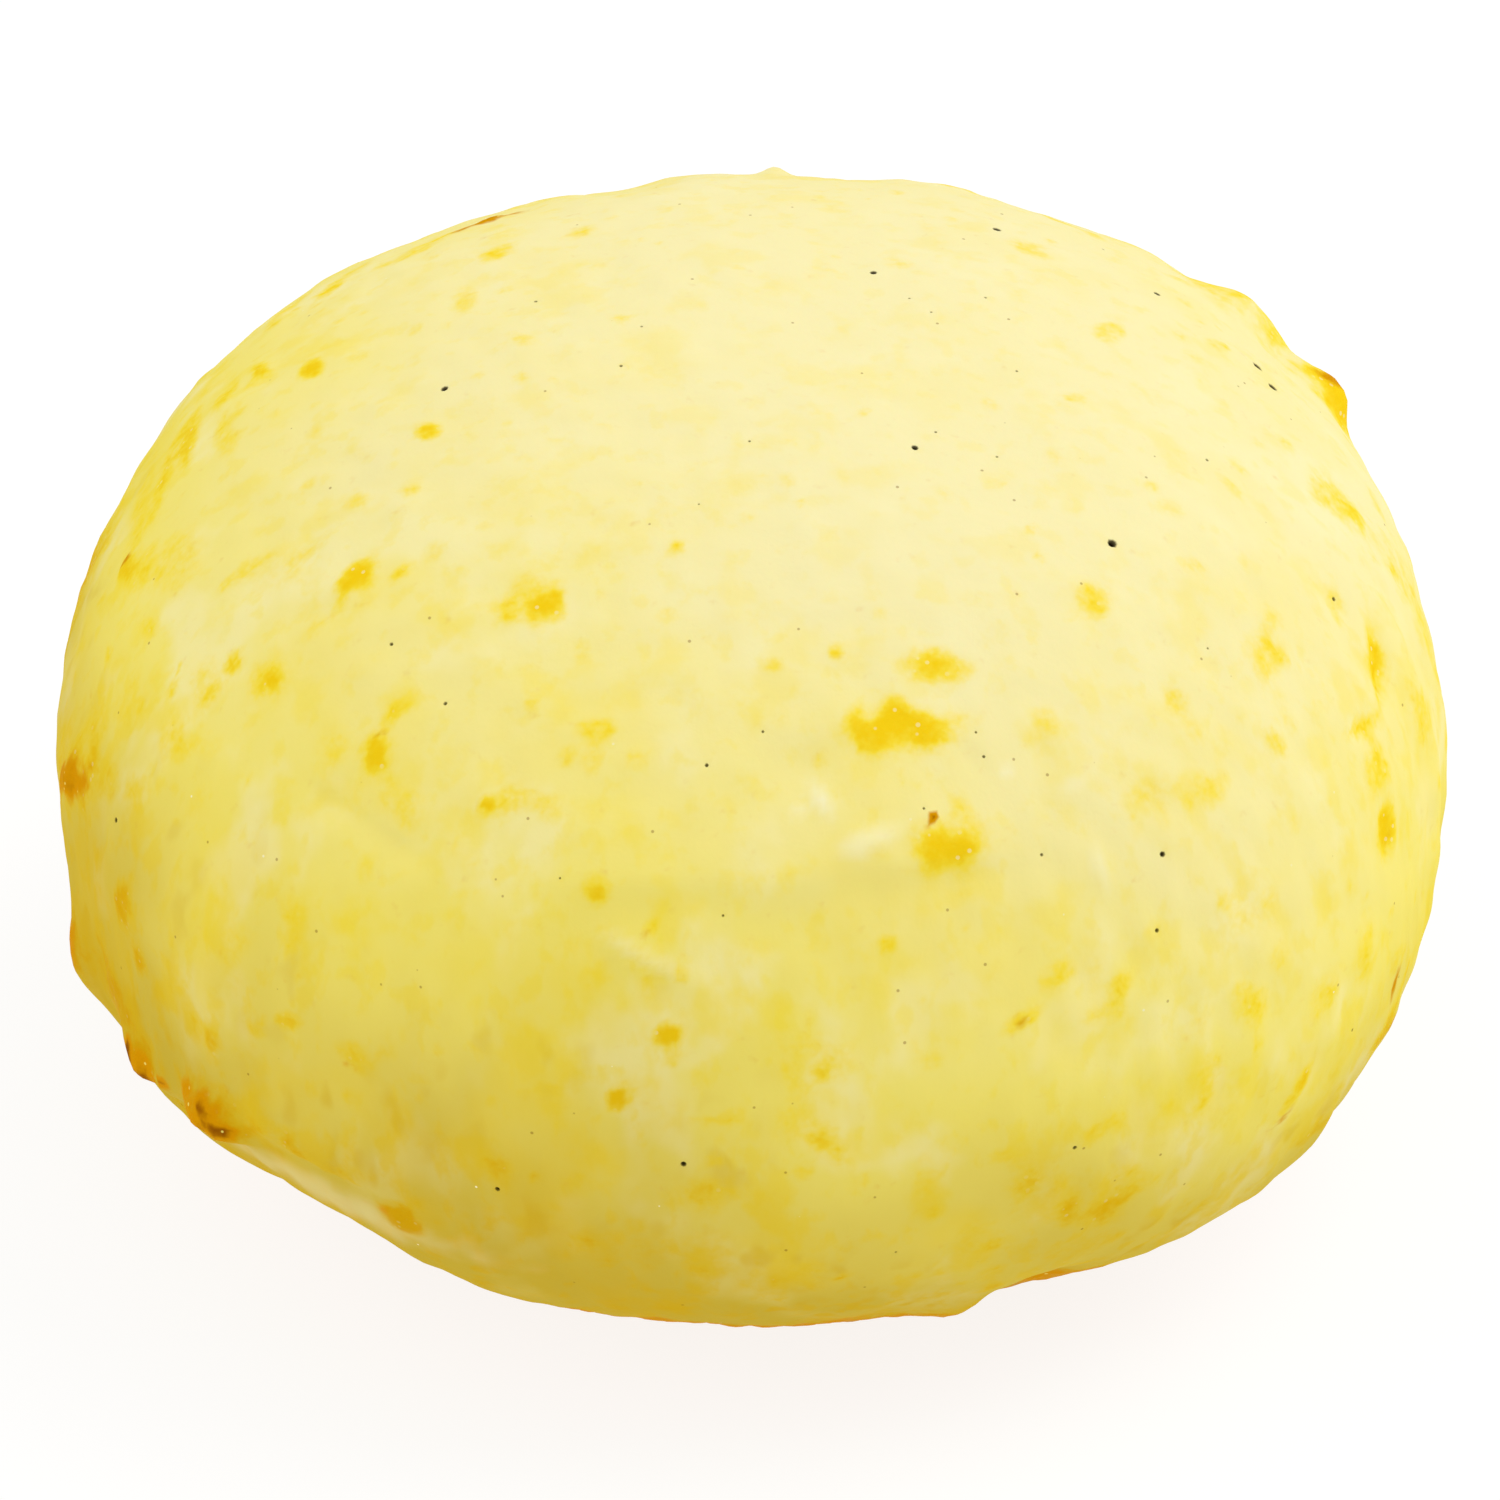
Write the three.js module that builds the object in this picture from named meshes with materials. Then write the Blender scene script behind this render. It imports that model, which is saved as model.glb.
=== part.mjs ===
// Bread roll: a small round cheese-bread roll, baked as one natural piece.
//
// Millimetres, +Z up. The origin is on the surface that the roll rests on, below its middle.
// The roll is longest along X, and its front faces -Y.
//
// The surface is drawn outwards from one middle point. In each direction the distance to the
// crust is that of a plain domed body, plus the rises and hollows of the dough. Below the
// resting plane the dough is pressed flat, with a soft turn where it leaves the surface.

import * as THREE from "three";
import { mergeVertices } from "three/addons/utils/BufferGeometryUtils.js";

// The plain body, measured from its widest level.
const HALF_LENGTH = 30;
const HALF_DEPTH = 29.2;
const CROWN_RISE = 21.9;
const BASE_DROP = 19.6;

// The widest level stands this far above the resting plane, less than BASE_DROP, so the
// lowest stretch of the body is pressed flat.
const WIDEST_LEVEL = 17.8;
const PRESSED_EDGE = 0.8;

// The middle point stands a little aside, so that the lumpy roll is centred over its origin.
const MIDDLE = new THREE.Vector3(0.3, 0, WIDEST_LEVEL);

// Exponents of the body's section: 2 is an ellipse, and more is squarer.
const PLAN_SQUARENESS = 2.15;
const CROWN_SQUARENESS = 2.25;
const BASE_SQUARENESS = 2.3;

// The crust is a cube's grid blown up into a ball, with this many cells along each cube edge.
const CELLS_PER_EDGE = 24;

// Slow waves all over the crust: how many, how high each one is, and their length in turns
// of the ball.
const WAVE_COUNT = 12;
const WAVE_HEIGHT = 0.035;
const SHORTEST_WAVE = 5;
const LONGEST_WAVE = 9;
const GOLDEN_ANGLE = Math.PI * (3 - Math.sqrt(5));

const CRUST_COLOUR = 0xf3e08c;

// Rises and hollows of the crust. Each stands at a longitude, which is 0 at the front and
// grows towards +X, and a latitude above the widest level. Its half width and half height
// are in degrees, turned by `turn`, and `rise` is in millimetres. `lee` makes its lower side
// shorter than its upper one, as under an overhang, and `edge` above 2 makes its ends blunt.
const SWELLS = [
  // Broad shape: a flatter right flank, a low shoulder behind and a dip in the back left.
  { lon: 94, lat: 2, wide: 28, high: 22, rise: -0.5 },
  { lon: 140, lat: 36, wide: 20, high: 8, rise: 0.15 },
  { lon: -163, lat: 41, wide: 5, high: 8, rise: -0.6 },
  { lon: -143, lat: 36, wide: 9, high: 10, rise: -0.25 },
  { lon: -6, lat: -30, wide: 36, high: 10, rise: -0.25 },
  // Two knobs of dough that burst out of the back right shoulder.
  { lon: 115, lat: 22, wide: 3.5, high: 5, rise: 0.7, edge: 3 },
  { lon: 122, lat: 28, wide: 4.5, high: 5, rise: 0.85, edge: 3 },
  // Left side: browned knobs at the edge of a skirt of dough that overhangs a hollow.
  { lon: -74, lat: 8, wide: 4, high: 4, rise: 0.2 },
  { lon: -73, lat: -9, wide: 4, high: 6, rise: 0.65 },
  { lon: -64, lat: -13, wide: 3.5, high: 5, rise: 0.4 },
  { lon: -50, lat: -7, wide: 18, high: 5, rise: 0.4, lee: 0.5 },
  { lon: -44, lat: -25, wide: 10, high: 8, rise: -1.5 },
  // Front: a soft ledge across the waist, with a dimple above it and a furrow to its left.
  { lon: 3, lat: 26, wide: 20, high: 5, rise: 0.35, lee: 0.5 },
  { lon: 5, lat: 34, wide: 5, high: 4, rise: -0.35 },
  { lon: -37, lat: 23, wide: 8, high: 3, rise: -0.3, turn: -6 },
  // Foot of the front: a heel, a notch beside it and a blunt toe on the right.
  { lon: 21, lat: -28, wide: 4, high: 5, rise: 0.5 },
  { lon: 28, lat: -28, wide: 5, high: 6, rise: -1.4 },
  { lon: 50, lat: -20, wide: 7, high: 7, rise: 0.5 },
  { lon: 67, lat: -12, wide: 4, high: 4, rise: 0.35 },
  // Right side: two folds that run up and down the flank.
  { lon: 77, lat: 14, wide: 3.5, high: 20, rise: 0.25 },
  { lon: 68, lat: 16, wide: 3.5, high: 14, rise: -0.2 },
  // Back: a long fold, a hollow under it and two knobs near the foot.
  { lon: 178, lat: 12, wide: 26, high: 5, rise: 0.4, lee: 0.5, turn: 4 },
  { lon: -168, lat: -4, wide: 14, high: 7, rise: -0.4 },
  { lon: 150, lat: -16, wide: 5, high: 5, rise: 0.6 },
  { lon: -138, lat: -14, wide: 6, high: 5, rise: 0.5 },
  { lon: -112, lat: 4, wide: 10, high: 12, rise: -0.3 },
];

const DEGREE = Math.PI / 180;
const UP = new THREE.Vector3(0, 0, 1);

// A unit vector from the middle point towards a longitude and latitude in degrees.
function towards(lon, lat) {
  const level = Math.cos(lat * DEGREE);
  const height = Math.sin(lat * DEGREE);
  return new THREE.Vector3(
    level * Math.sin(lon * DEGREE),
    -level * Math.cos(lon * DEGREE),
    height,
  );
}

// Distance from the middle point to the plain body: (|x/a|^p + |y/b|^p)^(1/p) joined with
// the height by the exponent of the crown or of the base.
function plainDistance(u) {
  const above = u.z > 0;
  const squareness = above ? CROWN_SQUARENESS : BASE_SQUARENESS;
  const reach = above ? CROWN_RISE : BASE_DROP;
  const inPlan = Math.pow(
    Math.pow(Math.abs(u.x / HALF_LENGTH), PLAN_SQUARENESS) +
      Math.pow(Math.abs(u.y / HALF_DEPTH), PLAN_SQUARENESS),
    1 / PLAN_SQUARENESS,
  );
  const sum = Math.pow(inPlan, squareness) + Math.pow(Math.abs(u.z / reach), squareness);
  return Math.pow(sum, -1 / squareness);
}

// A swell's own east and north directions on the ball, turned by its angle.
function swellAxes({ lon, lat, turn = 0 }) {
  const centre = towards(lon, lat);
  const east = new THREE.Vector3().crossVectors(UP, centre).normalize();
  const north = new THREE.Vector3().crossVectors(centre, east);
  east.applyAxisAngle(centre, turn * DEGREE);
  north.applyAxisAngle(centre, turn * DEGREE);
  return { centre, east, north };
}

// Height of one swell at a direction: a bell that falls with the distance from its centre.
function swellRise(u, swell) {
  const { centre, east, north, wide, high, rise, edge = 2, lee = 1 } = swell;
  if (u.dot(centre) <= 0) return 0;
  const across = Math.abs(u.dot(east) / DEGREE / wide);
  const upward = u.dot(north) / DEGREE;
  const along = upward / (upward < 0 ? high * lee : high);
  return rise * Math.exp(-(Math.pow(across, edge) + along * along));
}

// Height of the slow waves at a direction: sines along directions spread over the ball.
function waveRise(u) {
  let rise = 0;
  for (let i = 0; i < WAVE_COUNT; i += 1) {
    const share = (i + 0.5) / WAVE_COUNT;
    const level = Math.sqrt(1 - (2 * share - 1) ** 2);
    const turn = i * GOLDEN_ANGLE;
    const along = u.x * level * Math.cos(turn) + u.y * level * Math.sin(turn) + u.z * (2 * share - 1);
    const wave = SHORTEST_WAVE + (LONGEST_WAVE - SHORTEST_WAVE) * share;
    rise += WAVE_HEIGHT * Math.sin(wave * along * 2 + i);
  }
  return rise;
}

// Presses a height flat below the resting plane, with a rounded turn around it.
function pressed(z) {
  if (z >= PRESSED_EDGE) return z;
  if (z <= -PRESSED_EDGE) return 0;
  return (z + PRESSED_EDGE) ** 2 / (4 * PRESSED_EDGE);
}

// A closed ball of even cells: a cube's grid, spread by equal angles on each face.
function ballGeometry(cells) {
  const cube = new THREE.BoxGeometry(2, 2, 2, cells, cells, cells);
  cube.deleteAttribute("normal");
  cube.deleteAttribute("uv");
  const ball = mergeVertices(cube);
  const places = ball.getAttribute("position");
  const spread = (value) => Math.tan((value * Math.PI) / 4);
  const point = new THREE.Vector3();
  for (let i = 0; i < places.count; i += 1) {
    point.fromBufferAttribute(places, i);
    point.set(spread(point.x), spread(point.y), spread(point.z)).normalize();
    places.setXYZ(i, point.x, point.y, point.z);
  }
  return ball;
}

function rollGeometry() {
  const swells = SWELLS.map((swell) => ({ ...swell, ...swellAxes(swell) }));
  const crust = ballGeometry(CELLS_PER_EDGE);
  const places = crust.getAttribute("position");
  const u = new THREE.Vector3();
  for (let i = 0; i < places.count; i += 1) {
    u.fromBufferAttribute(places, i);
    let distance = plainDistance(u) + waveRise(u);
    for (const swell of swells) distance += swellRise(u, swell);
    const place = u.multiplyScalar(distance).add(MIDDLE);
    places.setXYZ(i, place.x, place.y, pressed(place.z));
  }
  crust.computeVertexNormals();
  return crust;
}

const crustMaterial = new THREE.MeshStandardMaterial({
  color: CRUST_COLOUR,
  roughness: 0.62,
  metalness: 0,
});

const roll = new THREE.Group();
const breadRoll = new THREE.Mesh(rollGeometry(), crustMaterial);
breadRoll.name = "bread_roll";
roll.add(breadRoll);

export default roll;
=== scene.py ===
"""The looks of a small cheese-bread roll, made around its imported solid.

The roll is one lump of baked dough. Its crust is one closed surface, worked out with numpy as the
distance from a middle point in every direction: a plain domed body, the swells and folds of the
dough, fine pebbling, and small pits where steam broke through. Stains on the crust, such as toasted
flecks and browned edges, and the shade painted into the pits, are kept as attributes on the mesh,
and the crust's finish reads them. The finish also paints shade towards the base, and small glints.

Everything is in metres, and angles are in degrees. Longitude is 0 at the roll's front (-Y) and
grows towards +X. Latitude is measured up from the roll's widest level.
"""

from __future__ import annotations

import logging
import math
from dataclasses import dataclass, field
from enum import Enum
from typing import Any

import bpy
import numpy as np
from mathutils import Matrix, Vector

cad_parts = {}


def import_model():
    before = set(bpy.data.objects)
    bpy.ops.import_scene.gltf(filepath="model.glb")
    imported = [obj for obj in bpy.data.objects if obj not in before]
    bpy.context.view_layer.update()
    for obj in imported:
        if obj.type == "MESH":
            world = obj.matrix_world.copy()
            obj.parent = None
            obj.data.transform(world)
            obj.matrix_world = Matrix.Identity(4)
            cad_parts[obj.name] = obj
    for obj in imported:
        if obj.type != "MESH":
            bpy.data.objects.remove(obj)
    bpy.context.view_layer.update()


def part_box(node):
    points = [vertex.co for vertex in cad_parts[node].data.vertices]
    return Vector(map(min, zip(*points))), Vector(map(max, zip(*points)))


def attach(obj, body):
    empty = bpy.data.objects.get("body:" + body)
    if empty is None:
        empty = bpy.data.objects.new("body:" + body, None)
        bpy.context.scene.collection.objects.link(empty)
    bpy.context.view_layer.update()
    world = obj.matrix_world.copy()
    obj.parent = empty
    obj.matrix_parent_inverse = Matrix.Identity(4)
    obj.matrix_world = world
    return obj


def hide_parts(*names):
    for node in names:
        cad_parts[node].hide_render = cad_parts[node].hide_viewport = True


MM = 0.001
NODE = "bread_roll"
BODY = "root"
GOLDEN_ANGLE = math.pi * (3.0 - math.sqrt(5.0))
LOG = logging.getLogger("bread_roll")


def towards(lon: float | np.ndarray, lat: float | np.ndarray) -> np.ndarray:
    """Gives the unit vector of a longitude and latitude.

    Formula: (sin lon cos lat, -cos lon cos lat, sin lat).

    Args:
        lon: Longitude in degrees, one number or an array.
        lat: Latitude in degrees, one number or an array.

    Returns:
        The direction, or one direction per row.
    """
    lon, lat = np.radians(lon), np.radians(lat)
    level = np.cos(lat)
    return np.stack([np.sin(lon) * level, -np.cos(lon) * level, np.sin(lat)], -1)


def smooth_step(value: np.ndarray, start: float, end: float) -> np.ndarray:
    """Rises smoothly from 0 at start to 1 at end, as 3t^2 - 2t^3; start may be above end.

    Args:
        value: Where to read the step.
        start: The value where the step leaves 0.
        end: The value where the step reaches 1.

    Returns:
        The step's height, from 0 to 1.
    """
    t = np.clip((value - start) / (end - start), 0.0, 1.0)
    return t * t * (3.0 - 2.0 * t)


@dataclass(frozen=True)
class Waves:
    """A seeded field of plain waves that run in all directions, used for every uneven surface.

    Attributes:
        seed: Seed of the field's random draws.
        shortest: Shortest wavelength, in metres.
        longest: Longest wavelength, in metres.
        count: How many waves are added up.
        tall: How many times longer the waves are upright than level.
    """

    seed: int
    shortest: float
    longest: float
    count: int = 40
    tall: float = 1.0

    def at(self, places: np.ndarray) -> np.ndarray:
        """Reads the field.

        Formula: the sum over the waves of sin(2 pi d.p / length + phase), scaled so that its
        usual size is 1.

        Args:
            places: Points, one per row.

        Returns:
            One value per point, mostly between -2 and 2.
        """
        rng = np.random.default_rng(self.seed)
        ways = rng.normal(size=(self.count, 3))
        ways /= np.linalg.norm(ways, axis=1, keepdims=True)
        lengths = self.shortest * (self.longest / self.shortest) ** rng.uniform(size=self.count)
        ways *= 2.0 * math.pi / lengths[:, None]
        ways[:, 2] /= self.tall
        phases = rng.uniform(0.0, 2.0 * math.pi, self.count)
        return np.sin(places @ ways.T + phases).sum(1) * math.sqrt(2.0 / self.count)


@dataclass(frozen=True)
class Oval:
    """An oval place on the crust.

    Attributes:
        lon: Longitude of its centre.
        lat: Latitude of its centre.
        wide: Half its width, in degrees.
        high: Half its height, in degrees.
        turn: Angle from level to its width, in degrees.
    """

    lon: float
    lat: float
    wide: float
    high: float
    turn: float = 0.0

    def read(self, ways: np.ndarray) -> tuple[np.ndarray, np.ndarray, np.ndarray]:
        """Gives where directions lie in the oval.

        Formula: a direction's parts along the oval's own two tangents, in degrees, each divided
        by the oval's half size.

        Args:
            ways: Unit directions, one per row.

        Returns:
            The place across, the place upward, and whether each is on the oval's side.
        """
        centre = towards(self.lon, self.lat)
        level = np.cross((0.0, 0.0, 1.0), centre)
        level /= np.linalg.norm(level)
        upright = np.cross(centre, level)
        turn = math.radians(self.turn)
        width = level * math.cos(turn) + upright * math.sin(turn)
        height = upright * math.cos(turn) - level * math.sin(turn)
        across = np.degrees(ways @ width) / self.wide
        upward = np.degrees(ways @ height) / self.high
        return across, upward, ways @ centre > 0.0


@dataclass(frozen=True)
class Swell(Oval):
    """A rise of the crust, or a hollow where the rise is negative.

    Attributes:
        rise: Height in millimetres.
        edge: Exponent of its fall across: 2 is a bell, more is blunt.
        lee: Length of its lower side as a share of its upper one, as under an overhang.
    """

    rise: float = 0.0
    edge: float = 2.0
    lee: float = 1.0

    def heights(self, ways: np.ndarray) -> np.ndarray:
        """Works out the swell's height at directions.

        Formula: rise times exp(-(|across|^edge + upward^2)).

        Args:
            ways: Unit directions, one per row.

        Returns:
            Heights in metres.
        """
        across, upward, near = self.read(ways)
        upward = np.where(upward < 0.0, upward / self.lee, upward)
        fall = np.abs(across) ** self.edge + upward**2
        return self.rise * MM * np.exp(-fall) * near


class Stain(Enum):
    """What can colour a place of the crust, the pits' painted shade too. Each value is the name of
    its mesh attribute.
    """

    TOASTED = "toasted"
    BROWNED = "browned"
    FLOURED = "floured"
    # Painted shade on the pits' floors and lips, not a stain of the crust.
    PIT_SHADE = "pit_shade"


@dataclass(frozen=True)
class Fleck(Oval):
    """An oval stain with a ragged edge.

    Attributes:
        depth: How strong the stain is at its middle, from 0 to 1.
        soft: Width of its fading edge, in half sizes.
        edge: Middle of the fading edge, in half sizes.
    """

    depth: float = 1.0
    soft: float = 1.3
    edge: float = 0.85

    def cover(self, ways: np.ndarray, ragged: np.ndarray) -> np.ndarray:
        """Works out how much of the stain lies at directions.

        Formula: depth times a smooth step of the distance from the middle, in half sizes,
        across the fading edge, after the ragged field has shifted the distance.

        Args:
            ways: Unit directions, one per row.
            ragged: A field of uneven values, one per direction.

        Returns:
            The stain's strength, from 0 to its depth.
        """
        across, upward, near = self.read(ways)
        away = np.hypot(across, upward) + ragged
        outer, inner = self.edge + self.soft / 2.0, self.edge - self.soft / 2.0
        return self.depth * smooth_step(away, outer, inner) * near


@dataclass(frozen=True)
class Pinhole:
    """A small round pit where steam broke through the crust.

    Attributes:
        lon: Longitude.
        lat: Latitude.
        radius: Radius in millimetres.
    """

    lon: float
    lat: float
    radius: float


@dataclass
class BallGrid:
    """A closed ball made from a cube's grid, so that all its cells have about one size.

    Attributes:
        cells: Cells along each edge of the cube.
    """

    cells: int
    corners: np.ndarray = field(init=False)
    ways: np.ndarray = field(init=False)

    def __post_init__(self) -> None:
        """Works out each side's shared corners, and their directions.

        Formula: a corner of the cube's grid, with each part spread by tan(pi/4 t), t from -1
        to 1, and the result made a unit vector. Each side's two parameters turn anticlockwise
        as seen from outside.
        """
        n = self.cells
        a, b = np.meshgrid(np.arange(n + 1), np.arange(n + 1), indexing="ij")
        low, high = np.zeros_like(a), np.full_like(a, n)
        sides = [(high, a, b), (low, b, a), (b, high, a), (a, low, b), (a, b, high), (b, a, low)]
        places = np.stack([np.stack(side, -1) for side in sides])
        keys = (places * np.array([(n + 1) ** 2, n + 1, 1])).sum(-1)
        _, first, shared = np.unique(keys, return_index=True, return_inverse=True)
        self.corners = shared.reshape(keys.shape)
        spread = np.tan((places.reshape(-1, 3)[first] / n * 2.0 - 1.0) * math.pi / 4.0)
        self.ways = spread / np.linalg.norm(spread, axis=1, keepdims=True)

    def nearest_inner(self, way: np.ndarray) -> tuple[int, int, int]:
        """Finds the grid corner nearest to a direction, two cells or more inside its side.

        Args:
            way: A unit direction.

        Returns:
            The side, and the corner's two places on it.
        """
        inner = self.corners[:, 2:-2, 2:-2]
        side, a, b = np.unravel_index(np.argmax(self.ways[inner] @ way), inner.shape)
        return int(side), int(a) + 2, int(b) + 2

    def quads(self, kept: np.ndarray) -> np.ndarray:
        """Gives the four corners of each kept cell, anticlockwise from outside.

        Args:
            kept: Whether each cell of each side is kept.

        Returns:
            Corner numbers, four per row.
        """
        c = self.corners
        four = np.stack([c[:, :-1, :-1], c[:, 1:, :-1], c[:, 1:, 1:], c[:, :-1, 1:]], -1)
        return four[kept]


@dataclass
class DoughShape:
    """The roll's plain domed body and its swells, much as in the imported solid.

    Attributes:
        half_length: Half the body's length along X.
        half_depth: Half the body's depth along Y.
        crown_rise: Height from the widest level to the top.
        base_drop: Depth from the widest level down, before the base is pressed flat.
        widest_level: Height of the widest level above the resting plane.
        pressed_edge: How softly the sides turn into the flat spot.
        middle_shift: How far the middle point stands from the origin along X.
        plan_squareness: Exponent of the body seen from above; 2 is an ellipse.
        crown_squareness: Exponent of the upper half seen from the side.
        base_squareness: Exponent of the lower half seen from the side.
        wave_count: How many slow waves run over the crust.
        wave_height: Height of each slow wave.
        first_wave: Number of the first slow wave. A higher number makes a shorter wave.
        last_wave: Number of the last one.
        swells: The rises and hollows of the dough.
    """

    half_length: float = 30.0 * MM
    half_depth: float = 29.2 * MM
    crown_rise: float = 21.9 * MM
    base_drop: float = 19.6 * MM
    widest_level: float = 17.8 * MM
    pressed_edge: float = 0.8 * MM
    middle_shift: float = 0.3 * MM
    plan_squareness: float = 2.15
    crown_squareness: float = 2.25
    base_squareness: float = 2.3
    wave_count: int = 12
    wave_height: float = 0.035 * MM
    first_wave: float = 5.0
    last_wave: float = 9.0
    swells: tuple[Swell, ...] = ()

    @property
    def middle(self) -> np.ndarray:
        """The point that the crust is drawn around."""
        return np.array([self.middle_shift, 0.0, self.widest_level])

    def plain_distance(self, ways: np.ndarray) -> np.ndarray:
        """Works out how far the plain body reaches in each direction.

        Formula: with h = (|x/length|^p + |y/depth|^p)^(1/p), the distance is
        (h^q + |z/reach|^q)^(-1/q), where q and reach are the crown's above the widest level
        and the base's below it.

        Args:
            ways: Unit directions, one per row.

        Returns:
            Distances in metres.
        """
        x, y, z = ways.T
        above = z > 0.0
        q = np.where(above, self.crown_squareness, self.base_squareness)
        reach = np.where(above, self.crown_rise, self.base_drop)
        p = self.plan_squareness
        h = (np.abs(x / self.half_length) ** p + np.abs(y / self.half_depth) ** p) ** (1.0 / p)
        return (h**q + np.abs(z / reach) ** q) ** (-1.0 / q)

    def slow_waves(self, ways: np.ndarray) -> np.ndarray:
        """Works out the height of the slow waves at directions.

        Formula: the sum over the waves i of height * sin(2 n_i d_i.u + i), where the
        directions d_i are spread evenly over the ball by the golden angle, and the numbers
        n_i go from the first wave's to the last one's.

        Args:
            ways: Unit directions, one per row.

        Returns:
            Heights in metres.
        """
        order = np.arange(self.wave_count)
        share = (order + 0.5) / self.wave_count
        tilt = np.degrees(np.arcsin(2.0 * share - 1.0))
        turn = 90.0 + np.degrees(order * GOLDEN_ANGLE)
        number = self.first_wave + (self.last_wave - self.first_wave) * share
        waves = np.sin(ways @ towards(turn, tilt).T * number * 2.0 + order)
        return self.wave_height * waves.sum(1)

    def press(self, heights: np.ndarray) -> np.ndarray:
        """Presses heights flat below the resting plane, with a rounded turn around it.

        Formula: z above the turn, (z + e)^2 / (4 e) within e of the plane, and 0 below.

        Args:
            heights: Heights above the resting plane.

        Returns:
            The pressed heights.
        """
        e = self.pressed_edge
        turn = (heights + e) ** 2 / (4.0 * e)
        return np.where(heights >= e, heights, np.where(heights <= -e, 0.0, turn))

    def place(self, ways: np.ndarray, relief: np.ndarray) -> np.ndarray:
        """Places the crust's points.

        Formula: the middle point plus each direction times (plain distance + slow waves +
        swells + relief), with the heights pressed flat at the base.

        Args:
            ways: Unit directions, one per row.
            relief: Extra height of the fine crust at each direction, in metres.

        Returns:
            Points, one per row.
        """
        distances = self.plain_distance(ways) + self.slow_waves(ways) + relief
        for swell in self.swells:
            distances += swell.heights(ways)
        places = self.middle + ways * distances[:, None]
        places[:, 2] = self.press(places[:, 2])
        return places


BROAD_SWELLS = (
    # A flatter right flank, a low shoulder behind and a dip in the back left.
    Swell(94, 2, 28, 22, rise=-0.5),
    Swell(132, 36, 12, 8, rise=0.1),
    Swell(147, 39, 4, 4, rise=-0.15),
    Swell(-131, 31, 4, 5, rise=0.15),
    Swell(-163, 41, 5, 8, rise=-0.6),
    Swell(-143, 36, 9, 10, rise=-0.25),
    Swell(-6, -30, 36, 10, rise=-0.25),
    # Two knobs of dough that burst out of the back right shoulder.
    Swell(114.8, 22.2, 2.5, 3.3, rise=0.95, edge=4, lee=0.7),
    Swell(117.4, 25.4, 1.6, 1.8, rise=0.3),
    Swell(122.4, 29, 3.6, 4.8, rise=1.0, edge=3),
    Swell(132, 33, 4, 5, rise=0.2),
    Swell(107, 16, 5, 6, rise=-0.22),
    # Left side: browned knobs at the edge of a skirt of dough that overhangs a hollow.
    Swell(-74, 8, 4, 4, rise=0.2),
    Swell(-98, 13, 7, 7, rise=0.12),
    Swell(-83, -1, 5, 4, rise=-0.34),
    Swell(-73.3, -9.6, 3, 5.4, rise=0.95),
    Swell(-64, -13, 2.2, 5, rise=0.25),
    Swell(-44, -25, 10, 8, rise=-1.5),
    # Foot of the front: a heel, a notch beside it and a blunt toe on the right.
    Swell(-16, -30, 6, 4, rise=-0.2),
    Swell(14, -33, 4, 4, rise=-0.25),
    Swell(21, -28, 3, 5, rise=0.5),
    Swell(42, -24, 3, 3, rise=0.24),
    Swell(28, -28, 5, 6, rise=-1.4),
    Swell(50, -20, 7, 7, rise=0.5),
    Swell(56, -17, 1.8, 4, rise=0.25),
    Swell(67, -12, 2, 4, rise=0.15),
    # Back: a long fold, a hollow under it and two knobs near the foot.
    Swell(178, 12, 26, 5, turn=4, rise=0.4, lee=0.5),
    Swell(-168, -4, 14, 7, rise=-0.4),
    Swell(150, -16, 5, 5, rise=0.6),
    Swell(-138, -14, 6, 5, rise=0.5),
    Swell(-112, 4, 10, 12, rise=-0.3),
)

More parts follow.
